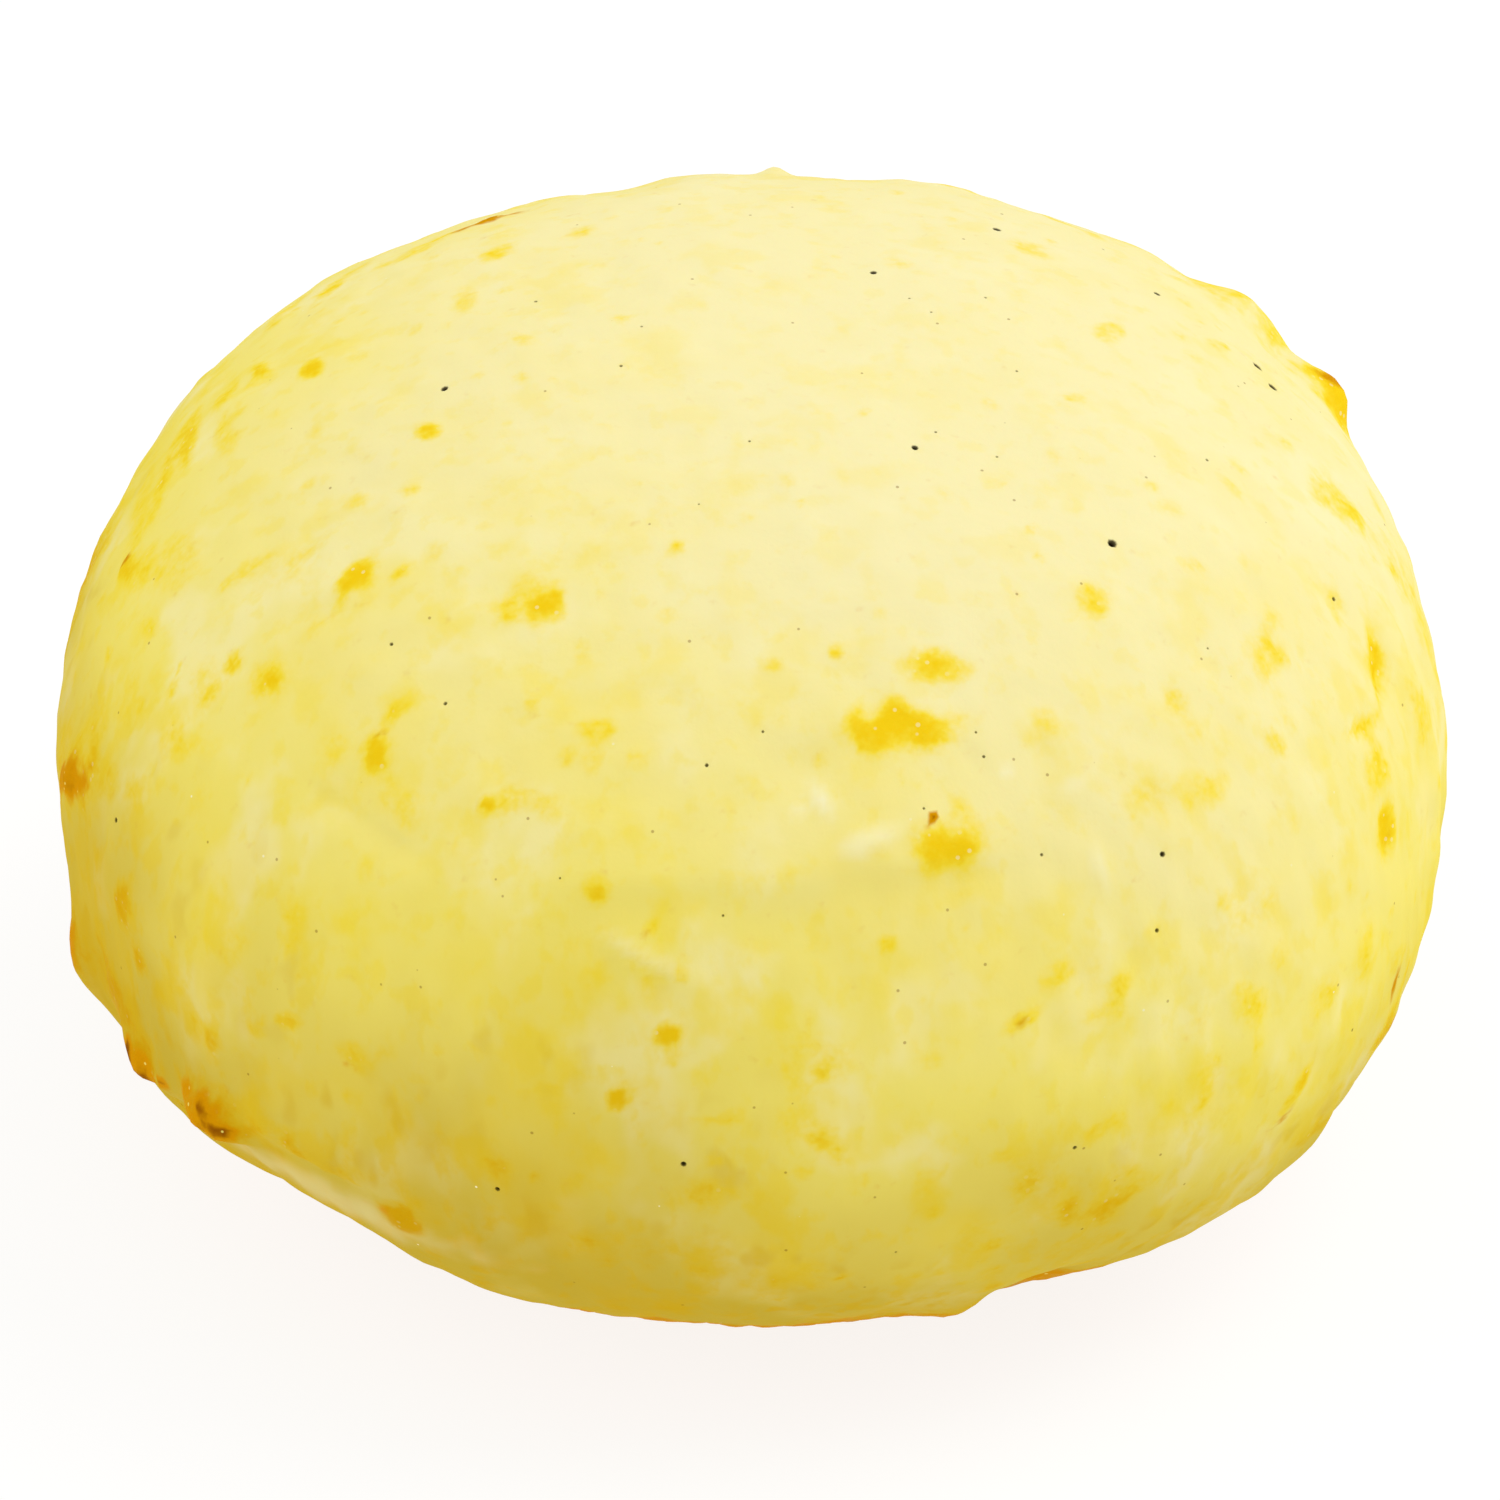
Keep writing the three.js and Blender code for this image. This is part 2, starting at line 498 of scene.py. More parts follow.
FINE_SWELLS = (
    # The skirt's edge on the left: a lip with a sharp underside, and knobs along it.
    Swell(-52, -9, 8, 5, turn=8, rise=0.3, edge=4, lee=0.25),
    Swell(-36, -7, 9, 5, turn=-6, rise=0.35, edge=3, lee=0.25),
    Swell(-75, 8, 5, 2.6, turn=34, rise=0.14),
    Swell(-60.8, -11.2, 2.4, 2.8, turn=20, rise=0.58, edge=3, lee=0.5),
    Swell(-56.5, -10.5, 1.4, 1.6, rise=0.3, lee=0.6),
    Swell(-48, -8.2, 3.4, 2.6, turn=-6, rise=0.9, edge=3, lee=0.4),
    Swell(-42, -5.5, 1.6, 2, rise=0.25, lee=0.6),
    # The soft ledge across the waist, its dimple, and the furrow to its left.
    Swell(-6, 24.6, 12, 5, turn=2, rise=0.36, edge=4, lee=0.3),
    Swell(15, 25.6, 8, 5, turn=-3, rise=0.42, edge=4, lee=0.3),
    Swell(5, 33, 4, 3.4, rise=-0.34),
    Swell(-37, 23.6, 7, 1.3, turn=-8, rise=-0.34, edge=4),
    Swell(-38, 20.5, 8, 2.2, turn=-8, rise=0.14),
    Swell(-9, 17.6, 4.4, 1.2, turn=-25, rise=0.26, edge=4, lee=0.5),
    # Scraps of dough that stand up on the front.
    Swell(6.4, 31, 0.9, 1.6, turn=25, rise=0.16),
    Swell(11, 27.4, 2.2, 1.1, turn=20, rise=0.2, lee=0.5),
    Swell(22, 32.6, 1.8, 0.8, turn=-60, rise=-0.1),
    Swell(31, 21.5, 0.7, 2.4, turn=4, rise=0.12),
    # Right side: folds that run up and down the flank, with a hooked pit between them.
    Swell(77, 14, 2.6, 20, turn=-4, rise=0.3),
    Swell(73, 20.5, 1.3, 3.4, turn=-48, rise=-0.32),
    Swell(65, 19.2, 3, 0.9, turn=-18, rise=-0.24),
    Swell(73, 27, 1.5, 1.9, rise=-0.14),
    Swell(67.5, 21.5, 1.3, 3.5, rise=0.16),
    Swell(63, 9.8, 1, 2.4, turn=-19, rise=-0.3),
    Swell(84, 8, 1.6, 24, turn=3, rise=0.2),
    # Small bumps on the skyline.
    Swell(177.6, 40.5, 1.3, 3, rise=0.42),
    Swell(158, 40, 3.5, 6, rise=0.1),
    Swell(-99, 34, 6, 1.6, turn=30, rise=0.12),
    # Back and far sides.
    Swell(-120, 20, 9, 2, turn=-12, rise=0.22, edge=3, lee=0.5),
    Swell(-150, 24, 2, 6, turn=15, rise=-0.22),
    Swell(135, 5, 2, 10, turn=-8, rise=-0.25),
    Swell(128, 4, 3, 9, turn=-8, rise=0.2),
    Swell(105, -10, 5, 3, turn=8, rise=0.3, edge=3, lee=0.4),
    Swell(170, -20, 9, 3, rise=0.25, edge=3, lee=0.5),
)

TOASTED_FLECKS = (
    # Crown and waist of the front, left to right.
    Fleck(-31, 46, 3.4, 2.7, 7, 0.5),
    Fleck(-28.8, 46, 1.6, 1.4, 0, 0.75),
    Fleck(-53.5, 40.5, 1.8, 1.7, 41, 0.9),
    Fleck(-53, 40.5, 2.5, 3.2, 41, 0.4),
    Fleck(-49, 43, 0.9, 1.1, 0, 0.6),
    Fleck(-60, 49, 1.3, 1, 20, 0.5),
    Fleck(-63, 39, 0.8, 2.2, -20, 0.35),
    Fleck(-68, 34, 0.9, 3.6, -12, 0.36),
    Fleck(-65, 36, 3, 4, 0, 0.25),
    Fleck(-77, 29, 3.8, 3, 0, 0.4),
    Fleck(-82, 25, 4, 2.4, 20, 0.6),
    Fleck(-98, 30, 6, 1.4, 6, 0.75),
    Fleck(-94, 27.4, 6, 1.2, -4, 0.7),
    Fleck(-93, 35, 5, 1.4, 10, 0.5),
    Fleck(-101, 34, 4, 1.3, 0, 0.6),
    Fleck(-98, 43.6, 2.3, 1.2, 29, 0.95),
    Fleck(-103, 37.4, 2.3, 0.9, 34, 0.85),
    Fleck(-70, 54, 1.7, 1.1, 30, 0.8),
    Fleck(-89, 65.4, 1.9, 1.2, 24, 0.45),
    Fleck(-110, 57, 3, 1.6, 20, 0.4),
    Fleck(-129, 55, 3, 1.8, 0, 0.5),
    Fleck(-142, 59, 2, 1.6, 0, 0.45),
    Fleck(-129, 43.4, 5, 1.6, 0, 0.5),
    Fleck(-124, 37, 6, 1.3, 10, 0.55),
    Fleck(-120, 33, 5, 1.3, 10, 0.5),
    Fleck(-92, 24.6, 6, 1.8, 0, 0.5),
    Fleck(-65, 45, 1.8, 1.2, 20, 0.42),
    Fleck(-69, 19, 2, 3, 0, 0.4),
    Fleck(-73, 15, 3, 3, 0, 0.45),
    Fleck(-97, 75.4, 1.6, 1, 60, 0.45),
    Fleck(-44, 67, 1.3, 0.7, 24, 0.25),
    Fleck(37, 71, 1, 0.8, 22, 0.4),
    Fleck(-54, 29.5, 1.5, 1.1, 20, 0.8),
    Fleck(-54, 29.5, 3.2, 2.6, 20, 0.35),
    Fleck(-59.3, 28.6, 1.4, 1, 20, 0.85),
    Fleck(-61, 25.5, 3.4, 2.4, 7, 0.34),
    Fleck(-59.4, 25.6, 0.7, 1.3, 10, 0.45),
    Fleck(-60.5, 20, 2, 1.8, 0, 0.42),
    Fleck(-56, 22, 1.8, 1.4, 0, 0.3),
    Fleck(-73, 24, 1.4, 1, 20, 0.55),
    Fleck(-61, 15, 1.3, 1.8, 0, 0.35),
    Fleck(-43, 28, 1.7, 2.6, 20, 0.36),
    Fleck(-34, 26, 4, 1.8, -8, 0.4),
    Fleck(-38.5, 29, 1.3, 1.5, 21, 0.95),
    Fleck(-38.5, 29, 2.4, 3, 21, 0.35),
    Fleck(-85, 23, 2.2, 0.9, 19, 0.6),
    Fleck(-77, 19, 1.6, 0.9, 9, 0.6),
    Fleck(-25, 37, 0.9, 0.8, 0, 0.5),
    Fleck(-17, 36, 1.8, 1.2, 5, 0.6),
    Fleck(-23.6, 28.6, 2.4, 1.3, 26, 0.55),
    Fleck(-25.6, 28, 0.9, 0.8, 26, 0.7),
    Fleck(-14, 23, 1.4, 1.4, 0, 0.85),
    Fleck(-9, 20.6, 0.7, 1, -20, 0.75),
    Fleck(11.4, 19, 1, 0.8, 8, 0.7),
    Fleck(-7, 12, 1.5, 1.4, 15, 1.0, soft=0.9),
    Fleck(-11, 6, 1.3, 1.2, 40, 0.9, soft=0.9),
    Fleck(21.6, 41, 3.2, 1.9, -8, 0.75),
    Fleck(14.6, 36.6, 3.6, 2.2, -5, 0.85),
    Fleck(11.6, 36.6, 2, 1.7, 0, 0.65),
    Fleck(19, 35.8, 1.8, 1.4, 0, 0.5),
    Fleck(15.8, 36, 5.6, 2.8, -5, 0.58),
    Fleck(17.8, 26, 3, 1.2, -12, 0.75),
    Fleck(17.8, 26, 4.8, 2.4, -8, 0.5, soft=1.5),
    Fleck(15.6, 24.6, 2.4, 0.8, -5, 0.4),
    Fleck(10, 44, 0.9, 0.9, 0, 0.5),
    Fleck(2, 43, 1.1, 1, 0, 0.45),
    Fleck(44, 42, 1.5, 1.6, 0, 0.4),
    Fleck(44.6, 41.6, 2.8, 2.8, 0, 0.36),
    Fleck(102, 52, 2.4, 1.5, -36, 0.48),
    Fleck(129, 53, 3, 1.6, 0, 0.45),
    Fleck(134, 68, 2, 1.6, 0, 0.35),
    Fleck(138, 40, 5, 1.4, 0, 0.5),
    Fleck(136, 34, 5, 1.4, 0, 0.45),
    Fleck(154, 40, 5, 1.3, 0, 0.45),
    Fleck(125, 32.4, 4, 2.6, 0, 0.55),
    Fleck(88, 29, 3.6, 4, 0, 0.52),
    Fleck(88, 14, 5, 11, 0, 0.4),
    Fleck(76, 13, 2.4, 3.2, 0, 0.45),
    Fleck(73, 20.8, 1.9, 3.4, -48, 0.8),
    Fleck(65, 19.2, 3, 0.8, -18, 0.7),
    Fleck(65, 15, 2.8, 2.2, 0, 0.6),
    Fleck(63.3, 10.6, 2, 2.4, -19, 1.0),
    Fleck(59, 30, 2, 2.4, -38, 0.45),
    Fleck(44, 24, 2.6, 1.9, -8, 0.45),
    Fleck(38, 25.6, 3, 1.5, -8, 0.35),
    Fleck(45.5, 31, 1.4, 1.6, -22, 0.5),
    Fleck(29, 33, 1.6, 1.2, 0, 0.28),
    Fleck(73, 27, 1.2, 1.6, 0, 0.4),
    # Lower front.
    Fleck(-33.4, 4.6, 1.5, 1.4, 0, 0.62),
    Fleck(-28, 4, 1, 0.8, 0, 0.4),
    Fleck(-40, 5.4, 1.4, 0.8, 20, 0.6),
    Fleck(-42, 4, 0.5, 1.6, 10, 0.5),
    Fleck(-47.6, 0.4, 1.2, 1.2, 20, 0.62),
    Fleck(-52, 2.6, 2, 2.2, 10, 0.4),
    Fleck(-46, 10, 2.6, 1.8, 20, 0.4),
    Fleck(0, 19, 2.4, 1.6, 0, 0.25),
    Fleck(22, 11, 2, 0.8, 22, 0.6),
    Fleck(31, 12, 1.1, 1.1, 0, 0.5),
    Fleck(26, 14, 1.4, 0.9, 0, 0.42),
    Fleck(28.6, 10, 1.8, 1.4, 0, 0.35),
    Fleck(43, 14, 3, 3, 0, 0.3),
    Fleck(43, 5.2, 1.7, 1.9, -6, 0.62),
    Fleck(43, 1.6, 0.6, 1.3, 0, 0.5),
    Fleck(38, 1, 2, 2.2, 0, 0.42),
    Fleck(57, 2.4, 2.2, 3.2, 0, 0.5),
    Fleck(51, 2, 2, 2.2, 0, 0.45),
    Fleck(64, -10, 3, 2.6, 0, 0.9),
    Fleck(48, -6, 0.8, 3, -35, 0.6),
    Fleck(54, -14, 3.4, 2, 0, 0.6),
    Fleck(30, -10, 2.6, 2, -20, 0.7),
    Fleck(31, -6, 2, 1.3, -37, 0.4),
    Fleck(-3, -3, 2.1, 1.3, 0, 0.45),
    Fleck(20, -1, 1.3, 1.1, 0, 0.5),
    Fleck(-61, 5, 1.6, 2.3, -22, 1.0),
    Fleck(-58, 1.5, 1.3, 1.9, -28, 0.9),
    Fleck(-55, 0, 1, 2, -20, 0.4),
    # Blotches low on the front.
    Fleck(5, 10, 4, 3, 0, 0.35),
    Fleck(3, 4, 2, 2.2, 0, 0.4),
    Fleck(14, 9, 1.3, 1.1, 0, 0.46),
    Fleck(37, 6, 2.4, 2, 0, 0.25),
    Fleck(-3.6, 4.2, 3, 0.8, 6, 0.5),
    Fleck(-9, 7, 2.4, 2, 0, 0.25),
    Fleck(-4, -3, 3.4, 2.4, 0, 0.4),
    Fleck(6, 2.5, 1.1, 2, 0, 0.4),
    Fleck(-4, -10, 2.8, 3.4, 0, 0.46),
    Fleck(-9, -10, 1.8, 3, 0, 0.42),
    Fleck(-13, -10, 2.2, 2.4, 0, 0.42),
    Fleck(4, -14, 4, 3, 0, 0.42),
    Fleck(14, -3, 1.5, 4, 0, 0.42),
    Fleck(18, -10, 2, 3, 0, 0.4),
    Fleck(22, -4, 1.8, 2.2, 0, 0.4),
    Fleck(25, -8, 2, 2, 0, 0.46),
    Fleck(29, -15, 3.6, 2.4, 0, 0.42),
    Fleck(30, -9, 4, 3.4, 0, 0.42),
    # Back right knobs.
    Fleck(121, 27, 6, 5, 0, 0.55),
    Fleck(128, 26, 5, 4, 0, 0.4),
    Fleck(114, 22, 3.6, 5, 0, 1.0),
    # Browned knobs and the skirt's edge on the left.
    Fleck(-73, 9.5, 8, 3.2, 34, 0.75),
    Fleck(-97, 13, 6, 7, 0, 0.8),
    Fleck(-65, -6.4, 3.6, 3, 30, 0.95),
    Fleck(-74, -7, 5, 4, 20, 0.95),
    Fleck(-59.4, -9.4, 4, 3.2, 20, 1.0),
    Fleck(-47, -7.2, 5, 3.2, 8, 0.95),
    Fleck(-42.6, -5.4, 1.2, 1.8, 0, 0.8),
    Fleck(-39, -7, 2.8, 1.1, -8, 0.6),
    Fleck(-33, -6.5, 3, 1.2, -8, 0.3),
    Fleck(-30, -11, 2.2, 2.4, 20, 1.0, soft=0.8),
    # Back and far sides.
    Fleck(150, -15, 4.2, 3.4, 0, 0.9),
    Fleck(-138, -13, 4.8, 3.6, 0, 0.9),
    Fleck(105, -9, 4, 2.4, 8, 0.8),
    Fleck(178, 12, 4, 2.4, 4, 0.7),
    Fleck(-160, 18, 2, 1.5, 0, 0.7),
    Fleck(-125, 25, 2.8, 2, -12, 0.8),
    Fleck(162, 30, 2.6, 2, 10, 0.6),
    Fleck(135, 12, 1.6, 3, -8, 0.8),
    Fleck(-110, 2, 1.4, 2.2, 0, 0.7),
    Fleck(-174, 0, 1.4, 1.4, 0, 0.7),
)

BROWNED_FLECKS = (
    # Crown and waist of the front, left to right.
    Fleck(-86, 23, 0.8, 0.8, 0, 0.5),
    Fleck(-39, 30.4, 0.7, 0.5, 10, 0.3),
    Fleck(-9.2, 20, 0.3, 0.7, 0, 0.4),
    Fleck(16.4, 28.6, 0.8, 0.26, 30, 0.75),
    Fleck(71.5, 19.4, 0.5, 1.4, -48, 0.16),
    Fleck(63.6, 9.8, 0.5, 1.3, -19, 0.26),
    # Lower front.
    Fleck(-34, 3.8, 0.8, 0.4, 0, 0.3),
    Fleck(22, 11, 0.8, 0.4, 22, 0.3),
    Fleck(64, -5, 0.7, 2, 0, 0.5),
    Fleck(66, -11, 2, 1.2, 0, 0.4),
    Fleck(47.5, -8, 0.5, 2, -35, 0.4),
    Fleck(-61, 5.4, 1.2, 1.8, -22, 0.15),
    # A knob on the back right, and a streak on the back left.
    Fleck(115, 23, 1.4, 1.8, 0, 0.5),
    Fleck(-141, 44, 4, 1, 0, 0.6),
    # Browned knobs and the skirt's edge on the left.
    Fleck(-74, 8.6, 4.4, 1.7, 34, 0.6),
    Fleck(-76, -8, 4, 2.4, 20, 0.75),
    Fleck(-61, -11, 3.4, 2.2, 20, 0.9),
    Fleck(-61, -12.8, 3.4, 0.8, 10, 0.9),
    Fleck(-55.6, -9.2, 0.9, 0.6, 10, 0.9),
    Fleck(-48.4, -7.7, 3.4, 2.4, 8, 0.66),
    Fleck(-49.4, -9.7, 2.8, 0.8, 8, 0.9),
    Fleck(-48.2, -6.5, 0.9, 0.7, 0, 0.95, soft=0.8),
    Fleck(-46.2, -7.5, 1.2, 0.5, 8, 0.9, soft=0.8),
    Fleck(-61.4, -9.6, 0.8, 1.5, 0, 0.95, soft=0.8),
    Fleck(-75.8, -10.6, 1.1, 1.5, 0, 0.8, soft=0.9),
    Fleck(-31.6, -10.4, 0.7, 1.2, 30, 0.2),
    # Back and far sides.
    Fleck(150, -16, 2.4, 2, 0, 0.9),
    Fleck(-138, -15, 3, 2, 0, 0.8),
    Fleck(104, -10.5, 2.4, 1.3, 8, 0.7),
)

FLOURED_FLECKS = (
    # The pale hollow under the skirt, and dry scraps on the front.
    Fleck(-38, -12.4, 13, 2.4, -6, 0.3),
    Fleck(6.4, 31, 0.8, 1.6, 25, 1.0),
    Fleck(4.2, 30.4, 1, 0.7, 20, 0.5),
    Fleck(11, 27.6, 2.4, 1.1, 20, 0.75),
    Fleck(-10, 18.6, 3.2, 0.6, -25, 0.35),
    Fleck(31, 21.5, 0.5, 2.2, 4, 0.5),
    Fleck(31, 28.5, 2, 0.6, 10, 0.35),
    Fleck(25, 31, 0.7, 0.6, 0, 0.6),
)

PINHOLES = (
    Pinhole(-80, 57, 0.13),
    Pinhole(137, 53, 0.15),
    Pinhole(53, 45, 0.17),
    Pinhole(136, 72, 0.12),
    Pinhole(107, 35, 0.21),
    Pinhole(104, 34, 0.18),
    Pinhole(37, 21, 0.1),
    Pinhole(35, 15, 0.08),
    Pinhole(-21, -5, 0.09),
    Pinhole(40, 64, 0.12),
    Pinhole(-5, 34, 0.07),
    Pinhole(116, 42, 0.12),
    Pinhole(-34, 35, 0.07),
    Pinhole(-43, 37, 0.07),
    Pinhole(73, 27, 0.08),
    Pinhole(26, 24, 0.06),
    Pinhole(-3, 22, 0.05),
    Pinhole(-6, 0, 0.1),
    Pinhole(26, -2, 0.08),
    Pinhole(-64, 11, 0.09),
    Pinhole(23, 35, 0.05),
    Pinhole(16, 29.5, 0.05),
    Pinhole(-150, 30, 0.14),
    Pinhole(170, 22, 0.12),
    Pinhole(-120, 8, 0.1),
)

# The uneven fields of the crust.
FINE_EDGES = Waves(11, 1.0 * MM, 2.5 * MM)
COARSE_EDGES = Waves(12, 2.5 * MM, 6.0 * MM)
SOLE_EDGES = Waves(13, 4.0 * MM, 12.0 * MM)
PEBBLES = Waves(22, 2.0 * MM, 5.0 * MM)
STREAKS = Waves(23, 1.2 * MM, 2.6 * MM, tall=3.0)
BLISTERS = Waves(24, 0.8 * MM, 1.5 * MM)
GRAINS = Waves(25, 0.9 * MM, 1.7 * MM, 60)

# A pit replaces the four cells around a grid corner: the eight corners around it, in order,
# its rings from the outermost inwards as (width, depth) in radii, and its floor's depth.
AROUND = ((1, 0), (1, 1), (0, 1), (-1, 1), (-1, 0), (-1, -1), (0, -1), (1, -1))
PIT_RINGS = ((1.55, 0.0), (1.0, 0.25), (0.8, 1.6))
PIT_FLOOR = 1.9

# The ring at a pit's lip, and its painted shade as a share of the floor's.
LIP = 1
LIP_SHADE = 0.85


@dataclass
class Pits:
    """The pits dug into the crust.

    Attributes:
        kept: Whether each cell of each side of the grid is kept.
        points: The rings' points, ring by ring and pit by pit.
        quads: The rings' walls, four point numbers per row.
        floors: The floors' triangles. The third point of each is the pit's middle.
        darkness: How dark the painted shade of each pit is, from 0 to 1.
    """

    kept: np.ndarray
    points: np.ndarray
    quads: np.ndarray
    floors: np.ndarray
    darkness: np.ndarray

    def spread(self, strength: np.ndarray) -> np.ndarray:
        """Gives a stain's strength at the rings too, where it is that of the pit's middle.

        Args:
            strength: The strength at the grid's corners.

        Returns:
            The strength at the grid's corners and then at the rings' points.
        """
        middles = np.repeat(self.floors[:: len(AROUND), 2], len(PIT_RINGS) * len(AROUND))
        return np.concatenate([strength, strength[middles]])

    def darken(self, strength: np.ndarray) -> None:
        """Paints shade onto the pits' floors and lips.

        Args:
            strength: The strength of the pits' painted shade at all points, which is changed.
        """
        darkness = self.darkness[:, None]
        strength[self.floors.reshape(len(darkness), -1)] = darkness
        rings = strength[-len(self.points) :].reshape(-1, len(PIT_RINGS), len(AROUND))
        rings[:, LIP] = LIP_SHADE * darkness


@dataclass
class BreadRoll:
    """The roll: one closed crust with its swells, pits and stains.

    Attributes:
        shape: The plain body and its swells.
        cells: Cells along each edge of the crust's grid.
        toasted: The main toasted flecks.
        browned: The browned flecks.
        floured: The dry, pale flecks.
        pinholes: The main pits.
        small_flecks: How many faint toasted flecks are scattered over the crust.
        small_pinholes: How many tiny pits are scattered over the crust.
        dark_radius: Radius in millimetres from which a pit's painted shade is fully dark.
        sole: Latitudes between which the underside becomes toasted.
        rim: Latitudes between which its rim becomes browned.
        rim_fade: Latitudes between which half of that browning fades again.
        pebble_height: Height of the pebbles and streaks, in millimetres.
        toast_rise: How far toasted crust puffs up, in millimetres.
        blister_height: Height of its blisters.
        brown_rise: How far browned crust puffs up, in millimetres.
        grain_height: Height of its grains.
        seed: Seed of the scattered flecks and pits.
    """

    shape: DoughShape
    cells: int = 124
    toasted: tuple[Fleck, ...] = TOASTED_FLECKS
    browned: tuple[Fleck, ...] = BROWNED_FLECKS
    floured: tuple[Fleck, ...] = FLOURED_FLECKS
    pinholes: tuple[Pinhole, ...] = PINHOLES
    small_flecks: int = 1200
    small_pinholes: int = 24
    dark_radius: float = 0.11
    sole: tuple[float, float] = (-22.0, -31.0)
    rim: tuple[float, float] = (-26.5, -30.0)
    rim_fade: tuple[float, float] = (-31.0, -38.0)
    pebble_height: float = 0.03
    toast_rise: float = 0.04
    blister_height: float = 0.014
    brown_rise: float = 0.05
    grain_height: float = 0.06
    seed: int = 7

    @staticmethod
    def any_place(rng: np.random.Generator, lowest: float) -> tuple[float, float]:
        """Draws a place, evenly over the crust.

        Args:
            rng: Where the draws come from.
            lowest: Sine of the lowest latitude.

        Returns:
            The longitude and the latitude.
        """
        lon = rng.uniform(-180.0, 180.0)
        return lon, math.degrees(math.asin(rng.uniform(lowest, 0.98)))

    def scattered_flecks(self) -> list[Fleck]:
        """Draws faint flecks all over, more of them and taller ones on the sides.

        Returns:
            The flecks.
        """
        rng = np.random.default_rng(self.seed)
        found = []
        while len(found) < self.small_flecks:
            lon, lat = self.any_place(rng, -0.75)
            side = 1.0 - max(0.0, lat) / 90.0
            if rng.uniform() > 0.35 + 0.65 * side:
                continue
            wide = rng.uniform(0.45, 1.3)
            high = wide * rng.uniform(0.8, 1.0 + 0.8 * side)
            depth = rng.uniform(0.12, 0.28 + 0.28 * side)
            found.append(Fleck(lon, lat, wide, high, rng.uniform(-12.0, 12.0), depth))
        return found

    def scattered_pinholes(self) -> list[Pinhole]:
        """Draws tiny pits, most of them on the crown and towards the right.

        Returns:
            The pits.
        """
        rng = np.random.default_rng(self.seed + 1)
        found = []
        while len(found) < self.small_pinholes:
            lon, lat = self.any_place(rng, -0.5)
            liking = 0.12 + 0.88 * max(0.0, lat) / 90.0 + 0.3 * math.sin(math.radians(lon))
            if rng.uniform() < liking:
                found.append(Pinhole(lon, lat, rng.uniform(0.04, 0.07)))
        return found

    def stains(self, ways: np.ndarray) -> dict[Stain, np.ndarray]:
        """Works out how strong each stain is at directions.

        Formula: for each kind, 1 minus the product of (1 - cover) over its flecks. The
        underside is toasted too, and its rim is browned. The pits' painted shade is left at 0.

        Args:
            ways: Unit directions, one per row.

        Returns:
            A strength from 0 to 1 per direction, for each stain.
        """
        places = ways * self.shape.half_length
        ragged = 0.1 * FINE_EDGES.at(places)
        ragged += 0.08 * COARSE_EDGES.at(places)
        flecks = {
            Stain.TOASTED: (*self.toasted, *self.scattered_flecks()),
            Stain.BROWNED: self.browned,
            Stain.FLOURED: self.floured,
            Stain.PIT_SHADE: (),
        }
        found = {}
        for stain, ovals in flecks.items():
            bare = np.ones(len(ways))
            for fleck in ovals:
                bare *= 1.0 - fleck.cover(ways, ragged)
            found[stain] = 1.0 - bare
        lat = np.degrees(np.arcsin(ways[:, 2]))
        lat += 1.2 * SOLE_EDGES.at(places) + 3.0 * ragged
        sole = 0.9 * smooth_step(lat, *self.sole)
        rim = 0.5 * smooth_step(lat, *self.rim) * (1.0 - 0.5 * smooth_step(lat, *self.rim_fade))
        found[Stain.TOASTED] = np.maximum(found[Stain.TOASTED], sole)
        found[Stain.BROWNED] = np.maximum(found[Stain.BROWNED], rim)
        return found

    def relief(self, ways: np.ndarray, stains: dict[Stain, np.ndarray]) -> np.ndarray:
        """Works out the fine height of the crust.

        Formula: pebbles, plus upright streaks that fade towards the top and the base, plus
        blisters times the toasting and coarse grains times the browning.

        Args:
            ways: Unit directions, one per row.
            stains: The stains at the same directions.

        Returns:
            Heights in metres.
        """
        places = ways * self.shape.half_length
        side = 1.0 - np.abs(ways[:, 2]) ** 1.5
        plain = self.pebble_height * (PEBBLES.at(places) + side * STREAKS.at(places))
        blisters = self.toast_rise + self.blister_height * BLISTERS.at(places)
        grains = self.brown_rise + self.grain_height * GRAINS.at(places)
        return (plain + stains[Stain.TOASTED] * blisters + stains[Stain.BROWNED] * grains) * MM

    def dig(self, grid: BallGrid, places: np.ndarray) -> Pits:
        """Opens the pits: the four cells around a grid corner give way to rings of points.

        Formula: each ring has a point towards each of the eight corners around the pit, at
        a multiple of its radius, and sinks below the crust by a multiple of it. The middle
        corner becomes the pit's floor. A pit that would meet an earlier one is left out.

        Args:
            grid: The crust's grid.
            places: The crust's points, whose pit middles are moved here.

        Returns:
            The pits.
        """
        kept = np.ones((6, grid.cells, grid.cells), bool)
        points, quads, floors, darkness = [], [], [], []
        following = np.roll(np.arange(len(AROUND)), -1)
        for pit in (*self.pinholes, *self.scattered_pinholes()):
            side, a, b = grid.nearest_inner(towards(pit.lon, pit.lat))
            cells = kept[side, a - 1 : a + 1, b - 1 : b + 1]
            if not cells.all():
                continue
            cells[:] = False
            middle = grid.corners[side, a, b]
            outer = np.array([grid.corners[side, a + i, b + j] for i, j in AROUND])
            centre, spokes = places[middle].copy(), places[outer] - places[middle]
            reach = np.linalg.norm(spokes, axis=1, keepdims=True)
            inward = -np.cross(spokes[0], spokes[2])
            inward /= np.linalg.norm(inward)
            before = outer
            for share, depth in PIT_RINGS:
                wide = np.minimum(share * pit.radius * MM, 0.8 * reach)
                ring = centre + spokes / reach * wide + inward * depth * pit.radius * MM
                names = len(places) + len(points) * len(AROUND) + np.arange(len(AROUND))
                points.append(ring)
                quads.append(np.stack([before, before[following], names[following], names], -1))
                before = names
            places[middle] = centre + inward * PIT_FLOOR * pit.radius * MM
            floors.append(np.stack([before, before[following], np.full(len(AROUND), middle)], -1))
